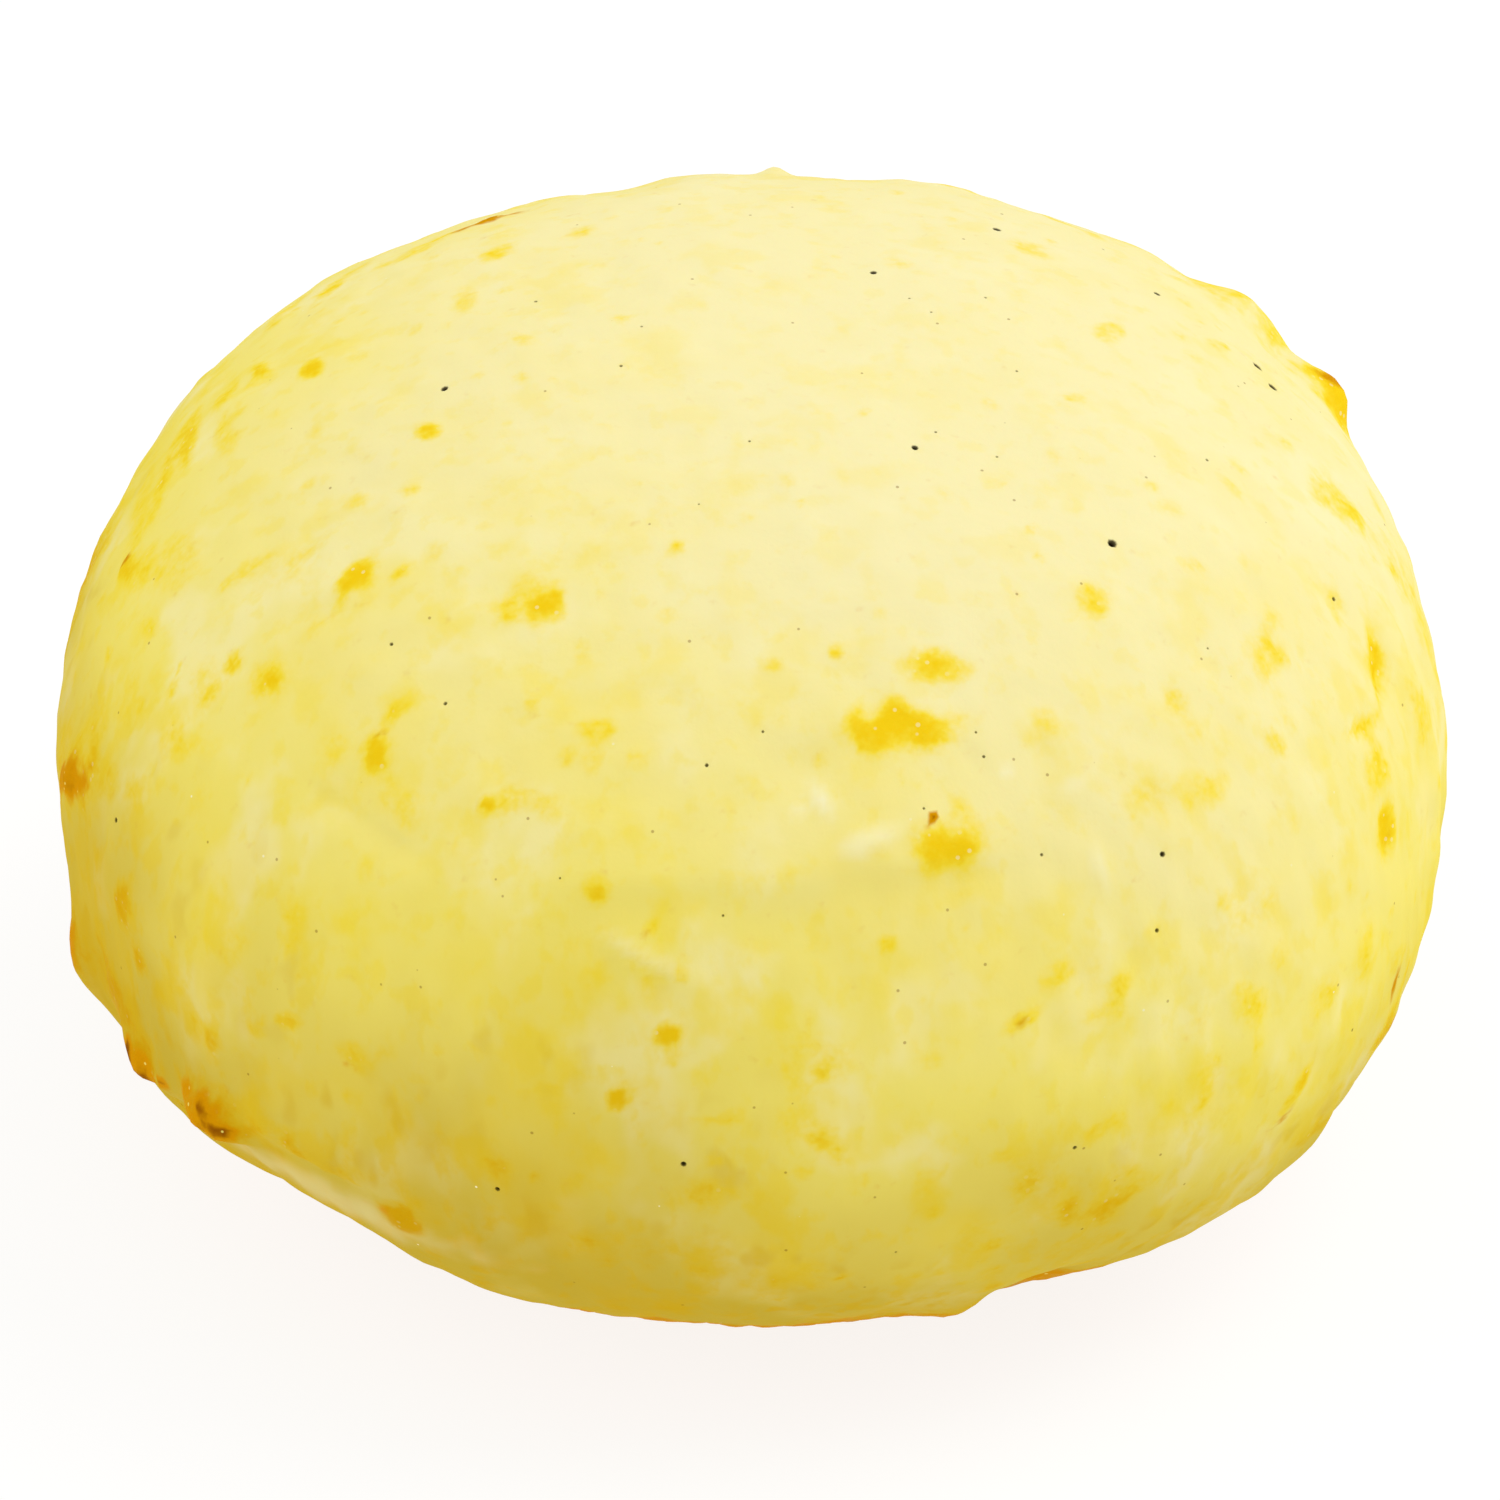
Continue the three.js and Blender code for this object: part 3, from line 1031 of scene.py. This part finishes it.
            darkness.append(min(1.0, pit.radius / self.dark_radius))
        parts = (np.concatenate(part) for part in (points, quads, floors))
        return Pits(kept, *parts, np.array(darkness))

    def build(self) -> bpy.types.Object:
        """Makes the crust's mesh and its attributes.

        Returns:
            The roll's object, at the origin.
        """
        grid = BallGrid(self.cells)
        stains = self.stains(grid.ways)
        places = self.shape.place(grid.ways, self.relief(grid.ways, stains))
        pits = self.dig(grid, places)
        places = np.concatenate([places, pits.points])
        quads = np.concatenate([grid.quads(pits.kept), pits.quads])
        mesh = mesh_from_faces("bread_roll_crust", places, quads, pits.floors)
        for stain, corners in stains.items():
            strength = pits.spread(corners)
            # The pits get their painted shade.
            if stain is Stain.PIT_SHADE:
                pits.darken(strength)
            add_attribute(mesh, stain.value, strength)
        roll = bpy.data.objects.new("crust", mesh)
        bpy.context.scene.collection.objects.link(roll)
        return roll

    def dress(self, roll: bpy.types.Object, finish: "CrustFinish") -> None:
        """Gives the crust its finish."""
        roll.data.materials.append(finish.material())

    def declare(self, roll: bpy.types.Object) -> None:
        """Hides the CAD node that the crust stands in for, and attaches the crust to the body it
        rides on.
        """
        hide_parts(NODE)
        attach(roll, BODY)


def mesh_from_faces(
    name: str, places: np.ndarray, quads: np.ndarray, triangles: np.ndarray
) -> bpy.types.Mesh:
    """Puts points and faces into a smooth-shaded mesh.

    Args:
        name: The mesh's name.
        places: Points, one per row.
        quads: Four point numbers per row.
        triangles: Three point numbers per row.

    Returns:
        The mesh.
    """
    mesh = bpy.data.meshes.new(name)
    mesh.vertices.add(len(places))
    mesh.vertices.foreach_set("co", places.astype(np.float32).ravel())
    loops = np.concatenate([quads.ravel(), triangles.ravel()]).astype(np.int32)
    mesh.loops.add(len(loops))
    mesh.loops.foreach_set("vertex_index", loops)
    quad_starts = np.arange(len(quads)) * 4
    triangle_starts = quads.size + np.arange(len(triangles)) * 3
    starts = np.concatenate([quad_starts, triangle_starts]).astype(np.int32)
    mesh.polygons.add(len(starts))
    mesh.polygons.foreach_set("loop_start", starts)
    mesh.polygons.foreach_set("use_smooth", np.ones(len(starts), bool))
    mesh.update(calc_edges=True)
    mesh.validate()
    return mesh


def add_attribute(mesh: bpy.types.Mesh, name: str, values: np.ndarray) -> None:
    """Adds one number per point to a mesh.

    Args:
        mesh: The mesh.
        name: The attribute's name.
        values: One value per point.
    """
    attribute = mesh.attributes.new(name, "FLOAT", "POINT")
    attribute.data.foreach_set("value", values.astype(np.float32))


@dataclass(frozen=True)
class Wire:
    """A node's output that can be used in Python expressions, each adding a Math node."""

    kit: "NodeKit"
    socket: bpy.types.NodeSocket

    def _math(self, operation: str, first: Any, second: Any) -> "Wire":
        """Adds a Math node of an operation on two values."""
        return self.kit.node("ShaderNodeMath", {"operation": operation}, {0: first, 1: second})

    def __add__(self, other: Any) -> "Wire":
        """Adds."""
        return self._math("ADD", self, other)

    def __radd__(self, other: Any) -> "Wire":
        """Adds, reflected."""
        return self._math("ADD", other, self)

    def __sub__(self, other: Any) -> "Wire":
        """Subtracts."""
        return self._math("SUBTRACT", self, other)

    def __rsub__(self, other: Any) -> "Wire":
        """Subtracts, reflected."""
        return self._math("SUBTRACT", other, self)

    def __mul__(self, other: Any) -> "Wire":
        """Multiplies."""
        return self._math("MULTIPLY", self, other)

    def __rmul__(self, other: Any) -> "Wire":
        """Multiplies, reflected."""
        return self._math("MULTIPLY", other, self)


@dataclass(frozen=True)
class Dots:
    """A scatter of small round dots.

    Attributes:
        spacing: Distance between the cells that may hold a dot.
        radius: Largest radius of a dot.
        share: Share of the cells that hold one.
        core: Share of the radius over which a dot is full.
    """

    spacing: float
    radius: float
    share: float
    core: float = 0.6


class NodeKit:
    """Adds nodes to one material and joins them."""

    def __init__(self, material: bpy.types.Material) -> None:
        """Starts with an empty node tree."""
        material.use_nodes = True
        self.tree = material.node_tree
        self.tree.nodes.clear()

    def node(
        self,
        kind: str,
        settings: dict[str, Any] | None = None,
        inputs: dict[str | int, Any] | None = None,
        output: str | int = 0,
    ) -> Wire:
        """Adds a node, sets it up and joins its inputs.

        Args:
            kind: The node's type.
            settings: Its own settings, set first, such as a Math node's operation.
            inputs: A value or a wire for each named or numbered input.
            output: The output that is wanted.

        Returns:
            The wanted output.
        """
        made = self.tree.nodes.new(kind)
        for name, value in (settings or {}).items():
            setattr(made, name, value)
        for name, value in (inputs or {}).items():
            if isinstance(value, Wire):
                self.tree.links.new(value.socket, made.inputs[name])
            else:
                made.inputs[name].default_value = value
        return Wire(self, made.outputs[output] if made.outputs else None)

    def attribute(self, name: str) -> Wire:
        """Reads a mesh attribute as a number."""
        return self.node("ShaderNodeAttribute", {"attribute_name": name}, output="Fac")

    def step(self, value: Wire, start: float, end: float) -> Wire:
        """Rises smoothly from 0 at start to 1 at end.

        Args:
            value: The value to read the step at.
            start: Where it leaves 0.
            end: Where it reaches 1.

        Returns:
            The step.
        """
        settings = {"interpolation_type": "SMOOTHSTEP"}
        inputs = {"Value": value, "From Min": start, "From Max": end}
        return self.node("ShaderNodeMapRange", settings, inputs)

    def mix(self, factor: Any, first: Any, second: Any) -> Wire:
        """Mixes two colours.

        Args:
            factor: How much of the second colour shows.
            first: The first colour, or its wire.
            second: The second colour, or its wire.

        Returns:
            The mixed colour.
        """
        settings = {"data_type": "RGBA", "clamp_factor": True}
        inputs = {0: factor, 6: opaque(first), 7: opaque(second)}
        return self.node("ShaderNodeMix", settings, inputs, 2)

    def dots(self, places: Wire, dots: Dots) -> Wire:
        """Scatters small dots: 1 inside a dot, and 0 outside.

        Args:
            places: Where they are read, in metres.
            dots: Their size and spacing.

        Returns:
            The dots.
        """
        inputs = {"Vector": places, "Scale": 1.0 / dots.spacing}
        away = self.node("ShaderNodeTexVoronoi", inputs=inputs, output="Distance")
        cell = self.node("ShaderNodeTexVoronoi", inputs=inputs, output="Color")
        draw = self.node("ShaderNodeSeparateColor", inputs={0: cell})
        edge = dots.radius / dots.spacing
        inside = self.step(away, edge, dots.core * edge)
        return inside * self.step(draw, dots.share, dots.share - 0.01)

    def noise(self, places: Wire, size: float, detail: float = 2.0, tall: float = 1.0) -> Wire:
        """Adds smooth noise, from 0 to 1.

        Args:
            places: Where it is read, in metres.
            size: About how large its patches are, in metres.
            detail: How many finer layers it has.
            tall: How many times longer its patches are upright than level.

        Returns:
            The noise.
        """
        scale = {"Vector": places, "Scale": (1.0, 1.0, 1.0 / tall)}
        stretched = self.node("ShaderNodeMapping", {"vector_type": "POINT"}, scale)
        inputs = {"Vector": stretched, "Scale": 0.5 / size, "Detail": detail}
        return self.node("ShaderNodeTexNoise", {}, inputs)


def opaque(colour: Any) -> Any:
    """Adds an alpha of 1 to a plain colour, and leaves a wire as it is."""
    return colour if isinstance(colour, Wire) else (*colour, 1.0)


Colour = tuple[float, float, float]
Span = tuple[float, float]


@dataclass(frozen=True)
class Mottle:
    """A layer of soft patches on the dough.

    Attributes:
        size: About how large the patches are.
        tall: How many times longer they are upright than level.
        start: Noise from which they begin to show.
        share: How strong they are.
    """

    size: float
    tall: float
    start: float
    share: float


@dataclass(frozen=True)
class CrustFinish:
    """The crust's finish: pale yellow dough that toasts to gold and browns to orange, with painted
    shade and glints.

    Attributes:
        crown: Colour of the top.
        flank: Colour of the sides.
        foot: Colour near the base: a deeper baked colour, darkened further as painted shade of the
            lower sides.
        foot_pale_shaded: Colour of pale patches near the base, darkened as painted shade.
        mottle: Colour of soft patches on the sides.
        foot_mottle_shaded: Colour of soft patches near the base, darkened as painted shade.
        golden: Colour of faint toasted flecks.
        toast: Colour of toasted flecks.
        foot_toast_shaded: Colour of toasted flecks near the base, darkened as painted shade.
        amber: Colour of crust about to brown.
        brown: Colour of browned crust.
        char: Colour of its darkest grains.
        sole: Colour of the baked underside.
        flour: Colour of dry scraps.
        pit: Colour painted inside the pits as their shade.
        lean: How far the colour levels rise towards +X and drop towards -X, in millimetres per
            millimetre.
        wander: How far the levels where the colours change wander up and down.
        sole_wander: The same for the underside's.
        flank_levels: Levels between which the crown's colour turns to the flank's.
        foot_shade_levels: Levels between which the flank's colour turns to the foot's, and the
            painted shade of the lower sides comes in.
        sole_levels: Heights between which the foot's colour turns to the underside's.
        golden_span: Strengths of the toasting between which the golden colour comes.
        toast_span: The same for the toasted colour.
        amber_span: Strengths of the browning between which the amber colour comes.
        brown_span: The same for the brown colour.
        char_span: The same for the darkest colour.
        mottles: The layers of soft patches.
        mottle_fade: How much more noise a patch needs to show fully.
        toast_grains_and_glints: Pale grains in toasted crust, partly painted glints.
        brown_grains_and_glints: Pale grains in browned crust, partly painted glints.
        glint_specks: Pale specks on the sides: painted glints, tiny highlights.
        pinhole_shade_specks: Dark specks all over: painted shade of pinholes too small for the
            mesh.
        roughness: Roughness of the plain crust.
        toast_roughness: Roughness where the fat has fried the crust.
        bump_height: Height of the finest grain.
        ior: Index of refraction, kept low because the dry crust hardly shines.
        soaked: Share of the light that passes through the crust.
        soak_depth: How deep that light goes.
    """

    crown: Colour = (0.90, 0.815, 0.425)
    flank: Colour = (0.90, 0.77, 0.155)
    # The foot's colours are partly its deeper baked colour and partly painted shade of the lower
    # sides.
    foot: Colour = (0.57, 0.405, 0.036)
    foot_pale_shaded: Colour = (0.64, 0.50, 0.098)
    mottle: Colour = (0.91, 0.72, 0.035)
    # Painted shade darkens this foot colour too.
    foot_mottle_shaded: Colour = (0.62, 0.385, 0.008)
    golden: Colour = (0.92, 0.71, 0.03)
    toast: Colour = (0.89, 0.60, 0.008)
    # Painted shade darkens this foot colour too.
    foot_toast_shaded: Colour = (0.61, 0.33, 0.003)
    amber: Colour = (0.66, 0.29, 0.001)
    brown: Colour = (0.32, 0.105, 0.001)
    char: Colour = (0.20, 0.06, 0.002)
    sole: Colour = (0.50, 0.29, 0.07)
    flour: Colour = (0.93, 0.87, 0.52)
    # Near black: painted shade inside the pits.
    pit: Colour = (0.015, 0.007, 0.002)
    lean: float = 0.25
    wander: float = 14.0 * MM
    sole_wander: float = 4.0 * MM
    flank_levels: Span = (42.0 * MM, 22.0 * MM)
    # Where the foot's painted shade begins and where it is full.
    foot_shade_levels: Span = (27.0 * MM, 6.0 * MM)
    sole_levels: Span = (6.0 * MM, 2.0 * MM)
    golden_span: Span = (0.05, 0.72)
    toast_span: Span = (0.5, 0.95)
    amber_span: Span = (0.08, 0.5)
    brown_span: Span = (0.52, 0.95)
    char_span: Span = (0.85, 1.2)
    mottles: tuple[Mottle, ...] = (
        Mottle(3.0 * MM, 1.1, 0.50, 0.4),
        Mottle(1.2 * MM, 1.4, 0.52, 0.65),
        Mottle(0.55 * MM, 1.6, 0.53, 0.55),
    )
    mottle_fade: float = 0.17
    # Pale grains in toasted and browned crust, partly painted glints.
    toast_grains_and_glints: Dots = Dots(0.42 * MM, 0.12 * MM, 0.45)
    brown_grains_and_glints: Dots = Dots(0.5 * MM, 0.1 * MM, 0.3)
    # Painted glints: tiny highlights on the sides.
    glint_specks: Dots = Dots(2.0 * MM, 0.07 * MM, 0.5)
    # Painted shade of pinholes too small for the mesh.
    pinhole_shade_specks: Dots = Dots(1.5 * MM, 0.085 * MM, 0.45)
    roughness: float = 0.65
    toast_roughness: float = 0.4
    bump_height: float = 0.15 * MM
    ior: float = 1.02
    soaked: float = 0.06
    soak_depth: float = 0.8 * MM

    def dough(self, kit: NodeKit, places: Wire, low: Wire, foot: Wire) -> Wire:
        """Builds the colour of the plain dough, with its pale and golden patches, darkened towards
        the foot partly as painted shade.

        Args:
            kit: The material's nodes.
            places: Places on the roll, in metres.
            low: How far down the crust is, from 0 on the crown to 1 on the flank.
            foot: The same, from 0 on the flank to 1 at the foot, where the colours carry painted
                shade.

        Returns:
            The colour.
        """
        base = kit.mix(foot, kit.mix(low, self.crown, self.flank), self.foot)
        gold = kit.mix(foot, self.mottle, self.foot_mottle_shaded)
        pale = kit.mix(foot, self.flour, self.foot_pale_shaded)
        cream = kit.step(kit.noise(places, 2.2 * MM, 3.0, 1.5), 0.5, 0.68)
        base = kit.mix(cream * (0.22 + 0.2 * low), base, pale)
        for layer in self.mottles:
            patches = kit.noise(places, layer.size, 3.0, layer.tall)
            patches = kit.step(patches, layer.start, layer.start + self.mottle_fade)
            base = kit.mix(patches * (layer.share * (0.28 + 0.4 * low + 0.5 * foot)), base, gold)
        clusters = kit.step(kit.noise(places, 4.0 * MM, 1.0), 0.4, 0.6) * foot
        spots = kit.step(kit.noise(places, 0.8 * MM, 1.5, 1.7), 0.55, 0.7)
        return kit.mix(spots * clusters * 0.75, base, self.foot_mottle_shaded)

    def toasting(self, kit: NodeKit, places: Wire, base: Wire, foot: Wire, crumbs: Wire) -> Wire:
        """Lays the toasted flecks over a colour, with ragged edges and pale grains that are partly
        painted glints.

        Args:
            kit: The material's nodes.
            places: Places on the roll, in metres.
            base: The colour under them.
            foot: How far down the crust is, from 0 on the flank to 1 at the foot, where the colours
                carry painted shade.
            crumbs: Fine noise that frays the edges.

        Returns:
            The colour.
        """
        toasted = kit.attribute(Stain.TOASTED.value)
        blisters = kit.noise(places, 0.18 * MM, 1.0)
        uneven = (crumbs - 0.5) * 0.5 + (blisters - 0.5) * 0.4
        frayed = toasted + uneven * kit.step(toasted, 0.02, 0.4)
        golden = kit.mix(foot, self.golden, self.foot_mottle_shaded)
        base = kit.mix(kit.step(frayed, *self.golden_span) * (0.95 - 0.3 * foot), base, golden)
        toast = kit.mix(foot, self.toast, self.foot_toast_shaded)
        base = kit.mix(kit.step(frayed, *self.toast_span), base, toast)
        # Pale grains, partly painted glints.
        grains = kit.dots(places, self.toast_grains_and_glints) * kit.step(toasted, 0.4, 0.8)
        pale = kit.mix(foot, self.flour, self.foot_pale_shaded)
        return kit.mix(grains * 0.42, base, pale)

    def browning(self, kit: NodeKit, places: Wire, base: Wire, crumbs: Wire) -> Wire:
        """Lays the browned places over a colour, from amber through brown to nearly black, with
        pale grains that are partly painted glints.

        Args:
            kit: The material's nodes.
            places: Places on the roll, in metres.
            base: The colour under them.
            crumbs: Fine noise that frays the edges.

        Returns:
            The colour.
        """
        browned = kit.attribute(Stain.BROWNED.value)
        frayed = browned + (crumbs - 0.5) * 0.6
        base = kit.mix(kit.step(frayed, *self.amber_span), base, self.amber)
        base = kit.mix(kit.step(frayed, *self.brown_span), base, self.brown)
        scorched = kit.step(browned + (crumbs - 0.5) * 1.4, *self.char_span)
        base = kit.mix(scorched * 0.6, base, self.char)
        # Pale grains, partly painted glints.
        grains = kit.dots(places, self.brown_grains_and_glints) * kit.step(browned, 0.2, 0.5)
        return kit.mix(grains * 0.85, base, self.flank)

    def colour(self, kit: NodeKit, places: Wire) -> Wire:
        """Builds the crust's colour: the dough with painted shade at its foot, its stains, and fine
        specks over all, among them painted glints and painted shade of tiny pinholes and of the
        pits.

        Args:
            kit: The material's nodes.
            places: Places on the roll, in metres.

        Returns:
            The colour.
        """
        height = kit.node("ShaderNodeSeparateXYZ", inputs={0: places}, output="Z")
        aside = kit.node("ShaderNodeSeparateXYZ", inputs={0: places}, output="X")
        drift = kit.noise(places, 6.0 * MM)
        level = height + aside * self.lean + (drift - 0.5) * self.wander
        low = kit.step(level, *self.flank_levels)
        # Towards the base the colours darken, partly from the deeper bake and partly as painted
        # shade.
        foot = kit.step(level, *self.foot_shade_levels)
        crumbs = kit.noise(places, 0.35 * MM)
        base = self.dough(kit, places, low, foot)
        base = self.toasting(kit, places, base, foot, crumbs)
        under = kit.step(height + (drift - 0.5) * self.sole_wander, *self.sole_levels)
        base = kit.mix(under * 0.75, base, self.sole)
        base = self.browning(kit, places, base, crumbs)
        dry = kit.attribute(Stain.FLOURED.value) * (1.0 - kit.attribute(Stain.TOASTED.value))
        base = kit.mix(dry, base, self.flour)
        # Pale specks on the sides: painted glints.
        base = kit.mix(kit.dots(places, self.glint_specks) * low, base, self.flour)
        # Dark specks: painted shade of tiny pinholes.
        base = kit.mix(kit.dots(places, self.pinhole_shade_specks) * 0.5, base, self.char)
        # The pits' painted shade goes over everything.
        return kit.mix(kit.attribute(Stain.PIT_SHADE.value), base, self.pit)

    def material(self) -> bpy.types.Material:
        """Builds the crust's material.

        Returns:
            The material.
        """
        made = bpy.data.materials.new("baked_crust")
        kit = NodeKit(made)
        places = kit.node("ShaderNodeTexCoord", output="Object")
        toasted = kit.attribute(Stain.TOASTED.value)
        browned = kit.attribute(Stain.BROWNED.value)
        grain = kit.noise(places, 0.22 * MM)
        pebbles = kit.noise(places, 0.9 * MM, tall=1.5)
        rough = self.roughness + (self.toast_roughness - self.roughness) * toasted
        rough = rough + (grain - 0.5) * 0.2
        bumps = pebbles * 0.6 + grain * (0.2 + 0.4 * toasted + 0.8 * browned)
        bump = {"Strength": 0.5, "Distance": self.bump_height, "Height": bumps}
        surface = {
            "Base Color": self.colour(kit, places),
            "Roughness": rough,
            "Normal": kit.node("ShaderNodeBump", inputs=bump),
            "Subsurface Weight": self.soaked,
            "Subsurface Radius": (1.0, 0.6, 0.2),
            "Subsurface Scale": self.soak_depth,
            "IOR": self.ior,
        }
        shader = kit.node("ShaderNodeBsdfPrincipled", inputs=surface)
        kit.node("ShaderNodeOutputMaterial", inputs={"Surface": shader})
        return made


@dataclass(frozen=True)
class Lamp:
    """A soft square light.

    Attributes:
        name: Its name.
        place: Where it hangs.
        size: Length of its sides.
        power: Its power, in watts.
    """

    name: str
    place: tuple[float, float, float]
    size: float
    power: float


@dataclass
class Studio:
    """A pale floor, soft light and the camera.

    Attributes:
        elevation: Angle of the camera's look above the horizon.
        distance: From the camera to what it looks at.
        focal_length: The camera's focal length, in millimetres.
        sensor_width: Width of the camera's sensor, in millimetres.
        aim_shift: Where the camera looks, from the roll's middle point.
        floor_size: Length of the floor's sides.
        floor_gap: How far it lies below the roll.
        floor_tone: Share of light that the floor throws back.
        floor_glow: Brightness of the floor's own light, which softens the roll's shadow.
        sky: Brightness of the light from all round.
        lamps: The lights.
    """

    elevation: float = 35.0
    distance: float = 432.0 * MM
    focal_length: float = 240.0
    sensor_width: float = 36.0
    aim_shift: tuple[float, float, float] = (-0.25 * MM, 0.11 * MM, 0.16 * MM)
    floor_size: float = 6.0
    floor_gap: float = 0.02 * MM
    floor_tone: float = 0.2
    floor_glow: float = 0.83
    sky: float = 0.72
    lamps: tuple[Lamp, ...] = (
        Lamp("key", (0.32, 0.05, 0.46), 0.4, 1.2),
        Lamp("fill", (-0.50, -0.05, 0.30), 0.5, 0.62),
    )

    def floor(self) -> None:
        """Lays the floor, just under the roll."""
        half, level = self.floor_size / 2.0, -self.floor_gap
        places = np.array([[-half, -half, level], [half, -half, level]])
        places = np.concatenate([places, places[::-1] * (1.0, -1.0, 1.0)])
        triangles = np.zeros((0, 3), int)
        mesh = mesh_from_faces("floor", places, np.array([[0, 1, 2, 3]]), triangles)
        made = bpy.data.materials.new("pale_floor")
        kit = NodeKit(made)
        surface = {
            "Base Color": opaque((self.floor_tone,) * 3),
            "Roughness": 0.9,
            "Specular IOR Level": 0.0,
            "Emission Color": opaque((1.0, 1.0, 1.0)),
            "Emission Strength": self.floor_glow,
        }
        shader = kit.node("ShaderNodeBsdfPrincipled", inputs=surface)
        kit.node("ShaderNodeOutputMaterial", inputs={"Surface": shader})
        mesh.materials.append(made)
        floor = bpy.data.objects.new("floor", mesh)
        bpy.context.scene.collection.objects.link(floor)

    def light(self, lamp: Lamp, aim: Vector) -> None:
        """Hangs a lamp.

        Args:
            lamp: The lamp.
            aim: What it points at.
        """
        glow = bpy.data.lights.new(lamp.name, "AREA")
        glow.size, glow.energy = lamp.size, lamp.power
        holder = bpy.data.objects.new(lamp.name, glow)
        holder.location = lamp.place
        holder.rotation_euler = (aim - Vector(lamp.place)).to_track_quat("-Z", "Y").to_euler()
        bpy.context.scene.collection.objects.link(holder)

    def world(self) -> None:
        """Fills the room with even white light."""
        world = bpy.data.worlds.new("room")
        world.use_nodes = True
        background = world.node_tree.nodes["Background"]
        background.inputs["Color"].default_value = opaque((1.0, 1.0, 1.0))
        background.inputs["Strength"].default_value = self.sky
        bpy.context.scene.world = world

    def camera(self, aim: Vector) -> None:
        """Sets the camera in front of and above what it looks at.

        Args:
            aim: The middle of its view.
        """
        angle = math.radians(self.elevation)
        back = Vector((0.0, -math.cos(angle), math.sin(angle)))
        lens = bpy.data.cameras.new("camera")
        lens.lens, lens.sensor_width = self.focal_length, self.sensor_width
        lens.clip_start, lens.clip_end = 0.01, 20.0
        holder = bpy.data.objects.new("camera", lens)
        holder.location = aim + back * self.distance
        holder.rotation_euler = (-back).to_track_quat("-Z", "Y").to_euler()
        bpy.context.scene.collection.objects.link(holder)
        bpy.context.scene.camera = holder

    def build(self, middle: Vector) -> None:
        """Makes the whole studio around the roll.

        Args:
            middle: The roll's middle point.
        """
        aim = middle + Vector(self.aim_shift)
        self.camera(aim)
        self.floor()
        self.world()
        for lamp in self.lamps:
            self.light(lamp, aim)
        bpy.context.scene.view_settings.view_transform = "Standard"


def main() -> None:
    """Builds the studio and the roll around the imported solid, and logs each piece."""
    logging.basicConfig(level=logging.INFO, format="%(name)s: %(message)s")
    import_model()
    low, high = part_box(NODE)
    LOG.info("packed solid is %s mm", [round(v / MM, 1) for v in high - low])

    shape = DoughShape(swells=BROAD_SWELLS + FINE_SWELLS)
    Studio().build(Vector(shape.middle))

    recipe = BreadRoll(shape)
    roll = recipe.build()
    recipe.dress(roll, CrustFinish())
    recipe.declare(roll)
    LOG.info("%s has %d faces", roll.name, len(roll.data.polygons))


if __name__ == "__main__":
    main()
